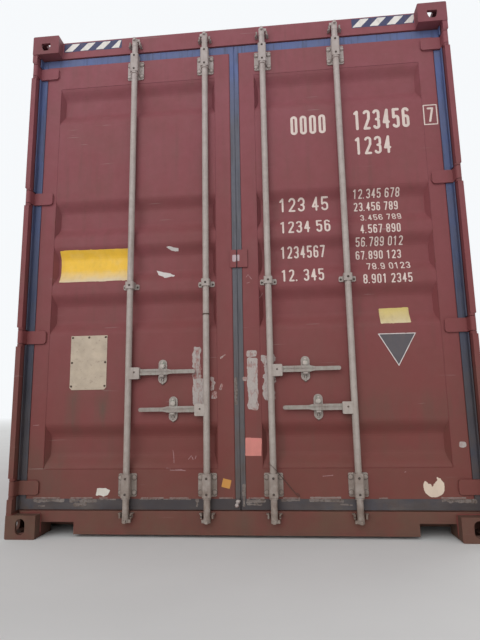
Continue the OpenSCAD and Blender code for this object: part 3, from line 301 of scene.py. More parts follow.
def painted_steel(name, dirt, rust, dirt_top=0.7, tint=1.0, streaks=0.3, smears=()):
    """Body paint: deep near the ground and lighter and bluer near the roof, a painted gradient of sky
    light, in clouds, with upright rain streaks, dirt that thickens downwards, rust specks and thin pale
    scratches."""
    own = colours()
    f = Finish(name, 0.2)
    # Painted sky light: from the deep paint near the ground to the lighter, bluer sky-lit paint near the
    # roof
    height = f.sum("ADD", f.spread(f.z, 0.1, 2.9), f.cloud(0.7, 0.3, 0.7, 0.16, 3, 0.5))
    f.shade = f.blend(f.sum("SUBTRACT", height, 0.08), tone(own.paint, tint), tone(own.sky_lit, tint))
    f.coat(tone(own.paint, 1.02 * tint), f.cloud(0.85, 0.36, 0.70, 0.30))
    f.coat(tone(own.paint, 0.80 * tint), f.cloud(0.045, 0.30, 0.80, 0.26, 5, 0.65))
    f.coat(own.dirt, f.cloud(0.040, 0.50, 0.74, streaks, stretch=(1, 1, 14)),
           f.cloud(0.55, 0.36, 0.62, 1, 2, 0.5))
    muddy = f.times(f.spread(f.z, dirt_top, 0.0), f.cloud(0.16, 0.28, 0.66, dirt, 5, 0.7))
    f.coat(own.dirt, muddy)
    f.coat(tone(own.dirt, 1.35), f.cloud(0.30, 0.46, 0.76, dirt * 0.55, 5, 0.65))
    f.coat((0.130, 0.072, 0.050), f.spread(f.z, 1.2, 0.2), f.cloud(0.24, 0.34, 0.70, dirt, 4, 0.65))
    for *place, worn in smears:
        f.coat(tone(own.dirt, 1.1), f.smear(*place), f.cloud(0.05, 0.30, 0.62, worn, stretch=(1, 1, 5)))
    f.coat(own.glue, f.cloud(0.012, 0.70, 0.74, 0.35, 2, 0.5, (24, 24, 1), 0.3),
           f.cloud(0.3, 0.50, 0.62, 1, 2, 0.5))
    speck = f.cloud(0.014, 0.66, 0.71, 1, 4, 0.75)
    f.coat(own.rust, speck, f.cloud(0.42, 0.52, 0.66, rust * 2.6, 3, 0.5))
    gloss = f.sum("ADD", f.cloud(0.11, 0.25, 0.75, 0.18), f.spread(muddy, 0.0, 0.5, 0.22))
    return f.done(gloss, 0.50, (f.noise(0.38, 2.0, 0.4), 0.006), (f.noise(0.006), 0.00012),
                  (speck, 0.0002))


def grey_gear(name, dirt=0.3, rust=0.3, tint=1.0, patina=0.0):
    """Locking gear: beige-grey coating, lighter and bluer near the roof with painted sky light, with dirt
    in clouds, rain streaks, rust specks and on the catches a green bloom."""
    own = colours()
    f = Finish(name, 0.4)
    # Painted sky light: the gear turns lighter and bluer towards the roof
    sky_lit_gear = [c * k * tint for c, k in zip(own.gear, (1.16, 1.14, 1.24))]
    f.shade = f.blend(f.spread(f.z, 0.1, 2.8), tone(own.gear, 0.92 * tint), sky_lit_gear)
    f.coat(tone(own.gear, 1.15 * tint), f.cloud(0.30, 0.3, 0.7, 0.5))
    f.coat((0.26, 0.36, 0.28), f.cloud(0.030, 0.46, 0.66, patina, 4, 0.7))
    f.coat(tone(own.dirt, 1.6), f.cloud(0.035, 0.42, 0.72, dirt, 5, 0.7))
    f.coat(tone(own.dirt, 1.2), f.cloud(0.016, 0.52, 0.74, dirt, stretch=(1, 1, 12)))
    f.coat(tone(own.dirt, 1.5), f.spread(f.z, 0.46, 0.22, 0.70), f.cloud(0.05, 0.25, 0.6))
    speck = f.cloud(0.009, 0.64, 0.70, 1, 4, 0.75)
    f.coat(own.rust, speck, f.cloud(0.20, 0.50, 0.66, rust * 2.4, 3, 0.5))
    return f.done(f.cloud(0.05, 0.25, 0.75, 0.25), 0.38, (f.noise(0.004), 0.00012), (speck, 0.0002))


def seal_rubber(name):
    """Door rubber: dark blue-grey, bluer near the roof with a painted reflection of the sky and brown with
    dirt near the ground, dusty in clouds, and pale grey with painted sheen where the leaves meet."""
    own = colours()
    f = Finish(name, 0.35)
    # Painted reflection of the sky: the rubber turns bluer towards the roof
    f.shade = f.blend(f.spread(f.z, 0.75, 2.5), own.rubber, (0.090, 0.122, 0.270))
    # Painted sheen: pale grey on the meeting seal, fading out near the roof
    f.coat((0.098, 0.093, 0.096), f.spread(f.sum("ABSOLUTE", f.axis("X")), 0.075, 0.045, 0.8),
           f.spread(f.z, 2.62, 2.25))
    f.coat((0.115, 0.104, 0.108), f.cloud(0.12, 0.36, 0.78, 0.42, 5, 0.65))
    f.coat((0.030, 0.030, 0.036), f.cloud(0.012, 0.52, 0.68, 0.45, stretch=(1, 1, 22)))
    f.coat(tone(own.dirt, 0.90), f.spread(f.z, 1.1, 0.1, 0.70), f.cloud(0.09, 0.3, 0.62))
    f.coat((0.100, 0.084, 0.076), f.spread(f.z, 0.24, 0.19),
           f.cloud(0.035, 0.44, 0.66, 0.75, 5, 0.7, (5, 1, 1)))
    f.coat((0.040, 0.032, 0.034), f.spread(f.z, 0.20, 0.185), f.cloud(0.30, 0.40, 0.60, 0.8, 3, 0.5))
    return f.done(f.cloud(0.03, 0.25, 0.75, 0.25), 0.48, (f.noise(0.20, stretch=(1, 1, 4)), 0.004),
                  (f.noise(0.004), 0.0002))


def floor_plywood(name):
    """Floor boards: grain drawn out along the container, scuffed and oil stained."""
    own = colours()
    f = Finish(name, 0.3)
    grain = f.noise(0.010, 5.0, 0.65, (1, 26, 1), 0.6)
    f.shade = f.blend(f.spread(grain, 0.30, 0.72), tone(own.plywood, 0.62), tone(own.plywood, 1.2))
    f.coat(tone(own.plywood, 0.55), f.cloud(1.4, 0.35, 0.65, 0.45, 2, 0.5))
    f.coat((0.34, 0.27, 0.21), f.cloud(0.03, 0.58, 0.70, 0.6, 5, 0.7, (1, 9, 1)))
    f.coat((0.045, 0.032, 0.025), f.cloud(0.5, 0.58, 0.66, 0.6))
    return f.done(f.spread(grain, 0.2, 0.8, 0.3), 0.48, (grain, 0.0008))


def bleached_plate(name):
    """Data plate with its print worn away: beige metal with faint blotches and scratches."""
    own = colours()
    f = Finish(name, 0.5)
    f.shade = f.blend(f.cloud(0.07, 0.3, 0.7), tone(own.plate, 0.86), tone(own.plate, 1.12))
    worn = f.cloud(0.022, 0.56, 0.70, 0.55, 5, 0.75, (1.6, 1, 1))
    f.coat(tone(own.dirt, 1.5), worn)
    f.coat(own.rust, f.cloud(0.012, 0.68, 0.74, 0.6, 4, 0.7))
    return f.done(f.cloud(0.02, 0.25, 0.75, 0.25), 0.38, (f.noise(0.09, 2.0), 0.0025), (worn, 0.0001))


def marking(name, paint, wear=0.35, wear_size=0.012, rough=0.5, under=None):
    """Paint or film of one colour with dirt and chips of the steel's paint showing through. Under gives
    the heights between which it fades upwards from a pale colour, and that colour."""
    own = colours()
    f = Finish(name, 0.25)
    f.shade = f.blend(f.cloud(0.09, 0.3, 0.72), tone(paint, 0.92), tone(paint, 1.05))
    if under is not None:
        low, high, pale = under
        fade = f.sum("ADD", f.spread(f.z, high, low), f.cloud(0.05, 0.3, 0.7, 0.2, 4, 0.5))
        f.coat(pale, f.sum("SUBTRACT", fade, 0.1))
    f.coat(tone(own.dirt, 2.0), f.cloud(0.028, 0.50, 0.80, wear, 5, 0.7, (1, 1, 2.5)))
    chip = f.cloud(wear_size, 0.66, 0.70, min(1.0, wear * 2.2), 4, 0.75)
    f.coat(tone(own.paint, 1.2), chip)
    return f.done(f.cloud(0.03, 0.25, 0.75, 0.2), rough - 0.1, (chip, -0.00015), (f.noise(0.02), 0.0003))


def glue_remains(name, cover):
    """Grey-white glue and paper fibres left by a torn sticker: upright smears, thin in places so that
    the paint shows through, and rough."""
    own = colours()
    f = Finish(name, 0.12)
    bare = (1 - cover) * 0.30
    smear = f.cloud(0.022, 0.24 + bare, 0.44 + bare, 1, 5, 0.7, (1, 1, 2))
    f.shade = f.blend(smear, tone(own.paint, 1.45), own.glue)
    fibres = f.cloud(0.006, 0.42, 0.66, 0.5, 3, 0.7, (1, 1, 2))
    f.coat((0.49, 0.44, 0.41), fibres)
    hole = f.spread(f.cells(0.021, (1, 1, 2.2)), 0.10, 0.22)
    f.coat((0.20, 0.135, 0.14), f.sum("SUBTRACT", 1.0, hole), 0.7)
    return f.done(f.times(smear, 0.1), 0.78, (smear, 0.0006), (fibres, 0.0003))


def worn_rubber(name):
    """Edge of the rubber rubbed pale, with dried mud and torn fibres."""
    f = Finish(name, 0.15)
    f.shade = f.blend(f.cloud(0.03, 0.36, 0.62, 1, 5, 0.7, (3, 1, 1)), (0.125, 0.102, 0.094),
                      (0.215, 0.182, 0.165))
    mud = f.cloud(0.012, 0.50, 0.66, 0.8, 4, 0.7)
    f.coat(colours().dirt, mud)
    pale = f.cloud(0.008, 0.60, 0.70, 0.9, 4, 0.75)
    f.coat((0.36, 0.31, 0.28), pale)
    return f.done(f.times(mud, 0.1), 0.8, (mud, 0.0015), (pale, 0.0006))


def weld_metal(name):
    """Painted weld bead: body paint a little darker, lighter and bluer near the roof with painted sky
    light, with rust in its ripples.
    """
    own = colours()
    f = Finish(name, 0.2)
    # Painted sky light: the weld turns lighter and bluer towards the roof, like the body paint
    f.shade = f.blend(f.spread(f.z, 0.1, 2.9), tone(own.paint, 0.86), tone(own.sky_lit, 0.88))
    rusty = f.cloud(0.02, 0.54, 0.70, 0.7, 4, 0.7)
    f.coat(own.rust, rusty)
    return f.done(f.times(rusty, 0.25), 0.55, (f.noise(0.005), 0.0006))


# Surfaces and fields

def door_depth(x, z):
    """Depth of a leaf's face behind its frame. Between a band's edge and its floor it follows half a
    cosine wave in straight steps; at the ends of the bands it is a straight ramp; the lower counts."""
    ends = np.minimum(np.abs(x) + PANEL_HIGH.x, -PANEL_LOW.x - np.abs(x)) / BAND_END
    level = np.max([(BAND_FLOOR / 2 + BAND_SLOPE - np.abs(z - c)) / BAND_SLOPE for c in BAND_ZS], axis=0)
    steps = np.linspace(0, 1, BAND_STEPS + 1)
    slope = np.interp(level, steps, (1 - np.cos(math.pi * steps)) / 2)
    return BAND_DEPTH * np.minimum(np.clip(ends, 0, 1), slope)


def on_door(x, z, lift):
    """Points on a leaf's face at x and z, lifted towards the front."""
    return np.stack([x, FACE_Y + door_depth(x, z) - lift, z], -1)


def on_front(y):
    """Maker of points on an upright plane that faces the front at y."""
    def place(x, z, lift):
        return np.stack([x, np.full_like(x, y) - lift, z], -1)
    return place


def speckle(a, b, size, seed):
    """Random heights from -1 to 1 on a square lattice, eased between its points by 3t^2 - 2t^3."""
    side = 97
    table = np.random.default_rng(seed).random((side, side)) * 2 - 1
    i, j = np.floor(a / size), np.floor(b / size)
    u, v = (t * t * (3 - 2 * t) for t in (a / size - i, b / size - j))
    i, j = i.astype(int) % side, j.astype(int) % side
    k, l = (i + 1) % side, (j + 1) % side
    return ((table[i, j] * (1 - u) + table[k, j] * u) * (1 - v)
            + (table[i, l] * (1 - u) + table[k, l] * u) * v)


def rough_edge(a, b, size, seed):
    """Three layers of speckle, each half as large and half as strong as the last."""
    return sum(speckle(a, b, size / 2 ** n, seed + n) / 2 ** n for n in range(3))


def box_field(a, b, low, high, corner=0.0, turn=0.0):
    """Signed distance to a box with round corners, turned about its middle."""
    mid = (np.array(low) + np.array(high)) / 2
    half = (np.array(high) - np.array(low)) / 2 - corner
    c, s = math.cos(turn), math.sin(turn)
    p = np.abs((a - mid[0]) * c + (b - mid[1]) * s) - half[0]
    q = np.abs((b - mid[1]) * c - (a - mid[0]) * s) - half[1]
    return np.hypot(np.maximum(p, 0), np.maximum(q, 0)) + np.minimum(np.maximum(p, q), 0) - corner


def convex_field(a, b, corners):
    """Signed distance to the sides of a convex outline given anticlockwise: the greatest of the
    distances to the lines through its sides."""
    sides = np.roll(corners, -1, axis=0) - corners
    sides /= np.hypot(*sides.T)[:, None]
    return np.max([(a - p[0]) * side[1] - (b - p[1]) * side[0] for p, side in zip(corners, sides)], axis=0)


def line_field(a, b, p, q):
    """Distance to the straight stretch from p to q."""
    p, d = np.array(p), np.array(q) - np.array(p)
    t = np.clip(((a - p[0]) * d[0] + (b - p[1]) * d[1]) / max(d @ d, 1e-12), 0, 1)
    return np.hypot(a - p[0] - t * d[0], b - p[1] - t * d[1])


def arc_field(a, b, centre, radius, start, end):
    """Distance to an arc about a centre, from the start to the end angle in degrees, anticlockwise."""
    a, b = a - centre[0], b - centre[1]
    half = math.radians(end - start) / 2
    mid = math.radians(end + start) / 2
    along = a * math.cos(mid) + b * math.sin(mid)
    across = np.abs(b * math.cos(mid) - a * math.sin(mid))
    tip = np.hypot(along - radius * math.cos(half), across - radius * math.sin(half))
    return np.where(np.arctan2(across, along) <= half, np.abs(np.hypot(a, b) - radius), tip)


def digit_strokes(r, h):
    """Centre lines of narrow round-ended figures 2r wide and h high: straight stretches given by their
    two ends, arcs by their centre and the start and end angle. All arcs have the radius r."""
    def stem(x, start, end):
        return (x, start), (x, end)
    top, mid, low = h - r, h / 2, r
    arch, bowl, hook, flag = (0, top, 0, 180), (0, low, 180, 360), (0, low, -165, 0), (0, top, 0, 165)
    knee = (r * 0.9, mid + r * 0.5)
    return {
        "0": [stem(-r, low, top), stem(r, low, top), arch, bowl],
        "1": [stem(0, 0, h), ((0, h), (-r * 0.9, h - r * 0.8))],
        "2": [flag, ((r, top), knee), (knee, (-r, 0)), ((-r, 0), (r, 0))],
        "3": [flag, stem(r, top, mid + r), (0, mid + r, -90, 0), (0, mid - r, 0, 90),
              stem(r, mid - r, low), hook],
        "4": [((r * 0.4, h), (-r, h * 0.3)), ((-r, h * 0.3), (r, h * 0.3)), stem(r * 0.4, 0, h)],
        "5": [((r, h), (-r, h)), stem(-r, h, h * 0.55), (0, h * 0.6 - r, 0, 150),
              stem(r, h * 0.6 - r, low), hook],
        "6": [(0, top, 15, 180), stem(-r, top, low), (0, h * 0.58 - r, 0, 180),
              stem(r, h * 0.58 - r, low), bowl],
        "7": [((-r, h), (r, h)), ((r, h), (-r * 0.3, 0))],
        "8": [arch, (0, mid + r, 180, 360), (0, mid - r, 0, 180), bowl, stem(-r, top, mid + r),
              stem(r, top, mid + r), stem(-r, mid - r, low), stem(r, mid - r, low)],
        "9": [hook, stem(r, low, top), (0, h * 0.42 + r, 180, 360), stem(-r, h * 0.42 + r, top), arch],
        ".": [stem(-r * 0.4, 0, 0)],
    }


def figures_field(a, b, text, left, base, width, height):
    """Signed distance to a row of figures: the least distance to the centre lines of its strokes, less
    half of a stroke's width. The row fills the width, and a space or a point takes half a place."""
    stroke = height * 0.13
    places = [0.5 if c in " ." else 1.0 for c in text]
    pitch = width / sum(places)
    radius = (pitch * 0.74 - stroke) / 2
    strokes = digit_strokes(radius, height - stroke)
    field = np.full_like(a, 1.0)
    for c, place in zip(text, places):
        u, v = a - (left + pitch * place / 2), b - base - stroke / 2
        left += pitch * place
        for part in strokes.get(c, []):
            away = (line_field(u, v, *part) if len(part) == 2
                    else arc_field(u, v, part[:2], radius, *part[2:]))
            field = np.minimum(field, away)
    return field - stroke / 2


# Shapes, each a pair of points and of arrays of corner numbers, one array for each number of corners

def new_piece(name, body, material, shape, smooth=False):
    """Mesh object of a shape, which rides on a body."""
    points, faces = shape
    mesh = bpy.data.meshes.new(name)
    mesh.vertices.add(len(points))
    mesh.vertices.foreach_set("co", np.asarray(points, np.float32).ravel())
    corners = np.concatenate([f.ravel() for f in faces]).astype(np.int32)
    counts = np.concatenate([np.full(len(f), f.shape[1]) for f in faces]).astype(np.int32)
    mesh.loops.add(len(corners))
    mesh.loops.foreach_set("vertex_index", corners)
    mesh.polygons.add(len(counts))
    mesh.polygons.foreach_set("loop_start", (np.cumsum(counts) - counts).astype(np.int32))
    mesh.polygons.foreach_set("use_smooth", np.full(len(counts), smooth))
    mesh.update(calc_edges=True)
    mesh.validate()
    mesh.materials.append(material)
    piece = bpy.data.objects.new(name, mesh)
    bpy.context.scene.collection.objects.link(piece)
    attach(piece, body)
    return piece


def joined(shapes):
    """Several shapes as one: points in a row, corner numbers shifted to match."""
    kinds, count = {4: [], 3: []}, 0
    for points, faces in shapes:
        for f in faces:
            kinds[f.shape[1]].append(f + count)
        count += len(points)
    return np.concatenate([s[0] for s in shapes]), [np.concatenate(k) for k in kinds.values() if k]


def grid_faces(rows, columns, wrap=False):
    """Corner numbers of the squares between neighbouring rows and columns of a grid of points. Wrap
    joins the last column to the first."""
    i = np.arange(rows - 1)[:, None] * columns
    j = np.arange(columns if wrap else columns - 1)
    k = (j + 1) % columns
    return np.stack([i + j, i + columns + j, i + columns + k, i + k], -1).reshape(-1, 4)


def cut(field, low, high, step, lift=None, place=on_door):
    """Sheet cut from a surface. A grid of two coordinates keeps the squares in whose middle the field is
    below zero, its corners along the cut slide down the field's slope onto its zero line, and place
    turns both coordinates into points."""
    lift = sizes().mark_lift if lift is None else lift
    axes = [np.linspace(p, q, max(2, int(round((q - p) / step)) + 1)) for p, q in zip(low, high)]
    a, b = np.meshgrid(*axes, indexing="ij")
    values = field(a, b)
    slope_a, slope_b = np.gradient(values, *axes)
    faces = grid_faces(*a.shape)
    inside = values.ravel()[faces].mean(1) < 0
    if not inside.any():
        raise ValueError(f"no area between {low} and {high}")
    kept, dropped = np.zeros(a.size, bool), np.zeros(a.size, bool)
    kept[faces[inside].ravel()] = True
    dropped[faces[~inside].ravel()] = True
    edge = (kept & dropped).reshape(a.shape)
    slide = np.where(edge, values / np.maximum(slope_a ** 2 + slope_b ** 2, 0.05), 0.0)
    reach = np.hypot(slide * slope_a, slide * slope_b)
    slide *= np.minimum(1.0, 0.72 * step / np.maximum(reach, 1e-9))
    points = place(a - slide * slope_a, b - slide * slope_b, lift).reshape(-1, 3)
    numbers = np.full(a.size, -1)
    numbers[kept] = np.arange(kept.sum())
    return points[kept], [numbers[faces[inside]]]


def blot(left, base, right, top, seed, rough=0.004, corner=0.004, turn=0.0, size=0.03, step=0.003,
         lift=None, place=on_door):
    """Cut with a torn outline: a turned box with round corners, whose distance is shifted by speckle."""
    low, high = (left, base), (right, top)

    def field(a, b):
        return box_field(a, b, low, high, corner, turn) + rough * rough_edge(a, b, size, seed)
    reach = 2 * rough + abs(math.sin(turn)) * max(right - left, top - base) / 2
    return cut(field, (left - reach, base - reach), (right + reach, top + reach), step, lift, place)


def torn(corners, seed, rough=0.002, lift=None):
    """Cut with a torn convex outline on the leaves' face."""
    corners = np.array(corners)

    def field(a, b):
        return convex_field(a, b, corners) + rough * rough_edge(a, b, 0.02, seed)
    return cut(field, corners.min(0) - 2 * rough, corners.max(0) + 2 * rough, 0.002, lift)


def film(name, body, material, *cuts, slot=None, thick=0.0009):
    """Piece made of several cuts, which gets its thickness towards the surface that it lies on."""
    solid = new_piece(name, body, material, joined(cuts)).modifiers.new("thickness", "SOLIDIFY")
    solid.thickness = thick
    solid.offset = -1.0


def closed(rings, ends):
    """Shell of rings of points, one after the other, with a point in the middle that closes each end."""
    rows, count = rings.shape[:2]
    j, last, tip = np.arange(count), (rows - 1) * count, np.full(count, rows * count)
    k = (j + 1) % count
    caps = np.concatenate([np.stack([k, j, tip], -1), np.stack([last + j, last + k, tip + 1], -1)])
    return np.concatenate([rings.reshape(-1, 3), ends]), [grid_faces(rows, count, True)[:, ::-1], caps]


def turned(profile, sides):
    """Closed solid of revolution about +Z: the profile gives radius and height from base to top."""
    r, z = np.array(profile).T[:, :, None]
    turn = np.arange(sides) * 2 * math.pi / sides
    rings = np.stack([r * np.cos(turn), r * np.sin(turn), z + 0 * turn], -1)
    return closed(rings, [(0, 0, profile[0][1]), (0, 0, profile[-1][1])])


def bolt_shape(r, h):
    """Washer under a six-sided head with a chamfered top."""
    return joined([turned([(r * 1.25, -0.001), (r * 1.25, h * 0.22), (r * 1.12, h * 0.3)], 14),
                   turned([(r, h * 0.2), (r, h * 0.84), (r * 0.84, h), (r * 0.3, h)], 6)])


def rivet_shape(r, h):
    """Low dome over an upright edge of nearly a third of its height."""
    return turned([(r, -0.0006), (r, h * 0.3), (r * 0.86, h * 0.72), (r * 0.5, h * 0.96)], 12)


def cap_shape(x, side, level, up):
    """Flat plate with a round front on a keeper: its outline carried over its thickness."""
    near, far, reach, thick, sunk = 0.0245, 0.0400, 0.030, 0.0035, -0.0005
    turn = np.linspace(-1, 1, 9) * math.pi / 2
    mid, half = (near + far) / 2, (far - near) / 2
    across = np.concatenate([[near], mid + half * np.sin(turn), [far]])
    out = np.concatenate([[0.0], reach - half + half * np.cos(turn), [0.0]])
    rings = [np.stack([x + side * across, KEEPER_BACK_Y - out, np.full(len(out), level + up * dz)], -1)
             for dz in (sunk, thick)]
    ends = [(x + side * mid, KEEPER_BACK_Y - reach / 2, level + up * dz) for dz in (sunk, thick)]
    points, faces = closed(np.array(rings), ends)
    return points, [f[:, ::-1] for f in faces] if side * up > 0 else faces


FRONT = np.array([[1, 0, 0], [0, 0, 1], [0, -1, 0]], float).T
UPWARD = np.eye(3)


def scattered(shape, places, seed, turn=FRONT):
    """Copies of a shape at the places, its +Z turned by the matrix, each spun by its own random angle."""
    points, faces = shape
    places = np.asarray(places, float)
    spin = np.random.default_rng(seed).random(len(places)) * math.pi
    c, s, o, i = np.cos(spin), np.sin(spin), np.zeros(len(places)), np.ones(len(places))
    spins = np.stack([c, -s, o, s, c, o, o, o, i], -1).reshape(-1, 3, 3)
    copies = np.einsum("nij,vj->nvi", turn @ spins, points) + places[:, None]
    shift = np.arange(len(places))[:, None, None] * len(points)
    return copies.reshape(-1, 3), [(f[None] + shift).reshape(-1, f.shape[1]) for f in faces]


def swept(path, outward, widths):
    """Closed tube along a path with the given radius at each of its points: rings of eight points, turned
    so that one of them faces outward."""
    centre, out = np.asarray(path, float), np.asarray(outward, float)
    ahead = np.gradient(centre, axis=0)
    ahead /= np.linalg.norm(ahead, axis=1)[:, None]
    out = out[None] - (ahead @ out)[:, None] * ahead
    out /= np.linalg.norm(out, axis=1)[:, None]
    side = np.cross(ahead, out)
    turn = (np.arange(8) * math.pi / 4)[:, None]
    ring = out[:, None] * np.cos(turn) + side[:, None] * np.sin(turn)
    return closed(centre[:, None] + ring * np.asarray(widths)[:, None, None], centre[[0, -1]])


def evenly(path, step):
    """Points at equal steps along a path of straight stretches, and how far along each one is."""
    path = np.asarray(path, float)
    reach = np.concatenate([[0], np.cumsum(np.linalg.norm(np.diff(path, axis=0), axis=1))])
    along = np.linspace(0, reach[-1], max(3, int(reach[-1] / step) + 1))
    return np.stack([np.interp(along, reach, path[:, k]) for k in range(3)], -1), along


def bead(path, outward, radius=None, ripple=0.012):
    """Weld bead: tube half sunk in the corner that it fills, a seventh wider where each ripple swells."""
    radius = sizes().weld_r if radius is None else radius
    centre, along = evenly(path, ripple / 3)
    widths = radius * (1 + 0.14 * np.abs(np.sin(math.pi * along / ripple)))
    widths[0] = widths[-1] = radius * 0.4
    return swept(centre, outward, widths)


def eased(points, steps=8):
    """Smooth path through the points: between two of them a cubic that leaves each one parallel to the
    line between its neighbours."""
    points = np.asarray(points, float)
    tangent = np.gradient(points, axis=0)
    t = np.linspace(0, 1, steps, endpoint=False)[None, :, None]
    p, q, v, w = points[:-1, None], points[1:, None], tangent[:-1, None], tangent[1:, None]
    curve = ((2 * t ** 3 - 3 * t ** 2 + 1) * p + (t ** 3 - 2 * t ** 2 + t) * v
             + (3 * t ** 2 - 2 * t ** 3) * q + (t ** 3 - t ** 2) * w)
    return np.concatenate([curve.reshape(-1, 3), points[-1:]])


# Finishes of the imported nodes

class CONTAINER_OT_finishes(bpy.types.Operator):
    """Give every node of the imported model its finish"""
    bl_idname = "container.finishes"
    bl_label = "Finishes"

    def execute(self, context):
        plate_x = (PLATE_LOW.x + PLATE_HIGH.x) / 2
        # Middle, half width, half height and strength of the dirt's runs
        drips = [(plate_x - 0.080, PLATE_LOW.z - 0.11, 0.018, 0.10, 0.95),
                 (plate_x + 0.088, PLATE_LOW.z - 0.08, 0.018, 0.07, 0.85),
                 (plate_x - 0.260, PLATE_LOW.z - 0.45, 0.12, 0.10, 0.45), (0.85, 0.62, 0.30, 0.06, 0.35)]

        def both(*parts):
            return [f"{side}_{part}" for side in ("left", "right") for part in parts]
        groups = (
            (frame["nodes"], painted_steel("container_paint", 0.34, 0.22)),
            (("bottom_side_rails", "cross_members", "gooseneck_tunnel", "front_sill"),
             painted_steel("underframe_paint", 0.75, 0.55, 0.34, 0.82)),
            (("top_corner_fittings", "hinge_lugs"), painted_steel("fitting_paint", 0.62, 0.5, 0.5, 0.86)),
            (("bottom_corner_fittings",), painted_steel("low_fitting_paint", 0.95, 0.6, 0.9, 0.80)),
            (("door_sill",), painted_steel("sill_paint", 0.72, 0.45, 0.60, 0.98,
                                           smears=[(0.010, 0.075, 0.010, 0.05, 0.9)])),
            (both("rear_post"), painted_steel("post_paint", 0.62, 0.35, 1.1, 0.95)),
            (both("door_frame", "door_panel", "hinge_blades", "meeting_plate"),
             painted_steel("door_paint", 0.36, 0.12, 0.55, streaks=0.26, smears=drips)),
            (both("door_seal"), seal_rubber("seal_rubber")),
            (both("rod_brackets", "handle_retainers") + ["floor_strip"], grey_gear("gear_finish")),
            ([f"lock_rod_{n}" for n in NUMBERS], grey_gear("rod_finish", tint=1.09)),
            ([f"handle_{n}" for n in NUMBERS], grey_gear("handle_finish", 0.5, 0.3, 0.86, 0.2)),
            ([f"handle_catch_{n}" for n in NUMBERS], grey_gear("catch_finish", 0.60, 0.6, 0.95, 0.85)),
            (("cam_keepers",), grey_gear("keeper_finish", 0.75, 0.8, 0.80)),
            (("floor_boards",), floor_plywood("floor_plywood")),
            (("data_plate",), bleached_plate("data_plate_metal")),
        )
        for names, material in groups:
            for name in names:
                materials = frame["nodes"][name].data.materials
                materials.clear()
                materials.append(material)
        return {"FINISHED"}


# Marks

# Rows of plain figures on the right leaf: text, left and right end, lower and upper edge
FIGURE_ROWS = (
    ("0000", 0.314, 0.526, 2.175, 2.291), ("123456", 0.669, 0.991, 2.179, 2.299),
    ("7", 1.076, 1.124, 2.200, 2.288), ("1234", 0.669, 0.881, 2.030, 2.136),
    ("123 45", 0.235, 0.522, 1.729, 1.806), ("1234 56", 0.238, 0.524, 1.592, 1.668),
    ("1234567", 0.238, 0.490, 1.457, 1.524), ("12. 345", 0.238, 0.477, 1.318, 1.391),
    ("12.345 678", 0.649, 0.909, 1.784, 1.830), ("23.456 789", 0.652, 0.898, 1.712, 1.762),
    ("3.456 789", 0.681, 0.909, 1.648, 1.688), ("4.567 890", 0.675, 0.896, 1.571, 1.620),
    ("56.789 012", 0.649, 0.908, 1.506, 1.552), ("67.890 123", 0.647, 0.896, 1.434, 1.482),
    ("78.9 0123", 0.700, 0.937, 1.370, 1.411), ("8.901 2345", 0.675, 0.938, 1.291, 1.342),
)
FIGURE_BOX = ((1.065, 2.186), (1.135, 2.302))
FIGURE_BOX_LINE = 0.0028
# Left, low, right and high edge
SIGN = (-1.025, 1.366, -0.613, 1.552)
SMALL_SIGN = (0.755, 1.073, 0.910, 1.159)
BAR_GROUNDS = ((-1.049, 2.822, -0.686, 2.878), (0.697, 2.822, 1.063, 2.880))
BAR_W = 0.049
MITRE = 0.048
TRIANGLE = np.array([(0.736, 1.018), (0.833, 0.847), (0.930, 1.018)])
# A mark that lies on another one
UPPER_LIFT = 0.0011


class CONTAINER_OT_figures(bpy.types.Operator):
    """Paint rows of plain figures on the right leaf"""
    bl_idname = "container.figures"
    bl_label = "Figures"

    def execute(self, context):
        edge, step = 0.004, 0.0024
        cuts = []
        for text, left, right, base, top in FIGURE_ROWS:
            def field(a, b):
                return figures_field(a, b, text, left, base, right - left, top - base)
            cuts.append(cut(field, (left - edge, base - edge), (right + edge, top + edge), step))
        low, high = FIGURE_BOX
        cuts.append(cut(lambda a, b: np.abs(box_field(a, b, low, high)) - FIGURE_BOX_LINE,
                        (low[0] - edge, low[1] - edge), (high[0] + edge, high[1] + edge), step))
        paint = marking("figure_paint", colours().white, 0.30)
        film("right_door_figures", "right_door", paint, *cuts)
        return {"FINISHED"}


class CONTAINER_OT_signs(bpy.types.Operator):
    """Stick the bare yellow signs and the bare black triangle on the leaves"""
    bl_idname = "container.signs"
    bl_label = "Signs"

    def execute(self, context):
        yellow = marking("sign_film", colours().yellow, 0.16, 0.008, 0.45,
                         (SIGN[1] - 0.01, SIGN[1] + 0.075, (0.63, 0.55, 0.42)))
        pale = marking("small_sign_film", (0.58, 0.45, 0.16), 0.30, 0.006,
                       under=(SMALL_SIGN[1] - 0.03, SMALL_SIGN[3] - 0.005, (0.62, 0.53, 0.36)))
        border = marking("triangle_border_film", (0.60, 0.55, 0.53), 0.2)
        black = marking("triangle_film", (0.092, 0.082, 0.090), 0.2, 0.006)
        middle = TRIANGLE.mean(0)
        inner = middle + (TRIANGLE - middle) * 0.925
        film("height_sign", "left_door", yellow, blot(*SIGN, 11, 0.0009, 0.004, -0.004, step=0.004))
        film("small_sign", "right_door", pale, blot(*SMALL_SIGN, 12, 0.0006, 0.003, 0.010))
        film("triangle_border", "right_door", border, torn(TRIANGLE, 13, 0.0004))
        film("triangle_field", "right_door", black, torn(inner, 14, 0.0003, UPPER_LIFT))
        return {"FINISHED"}


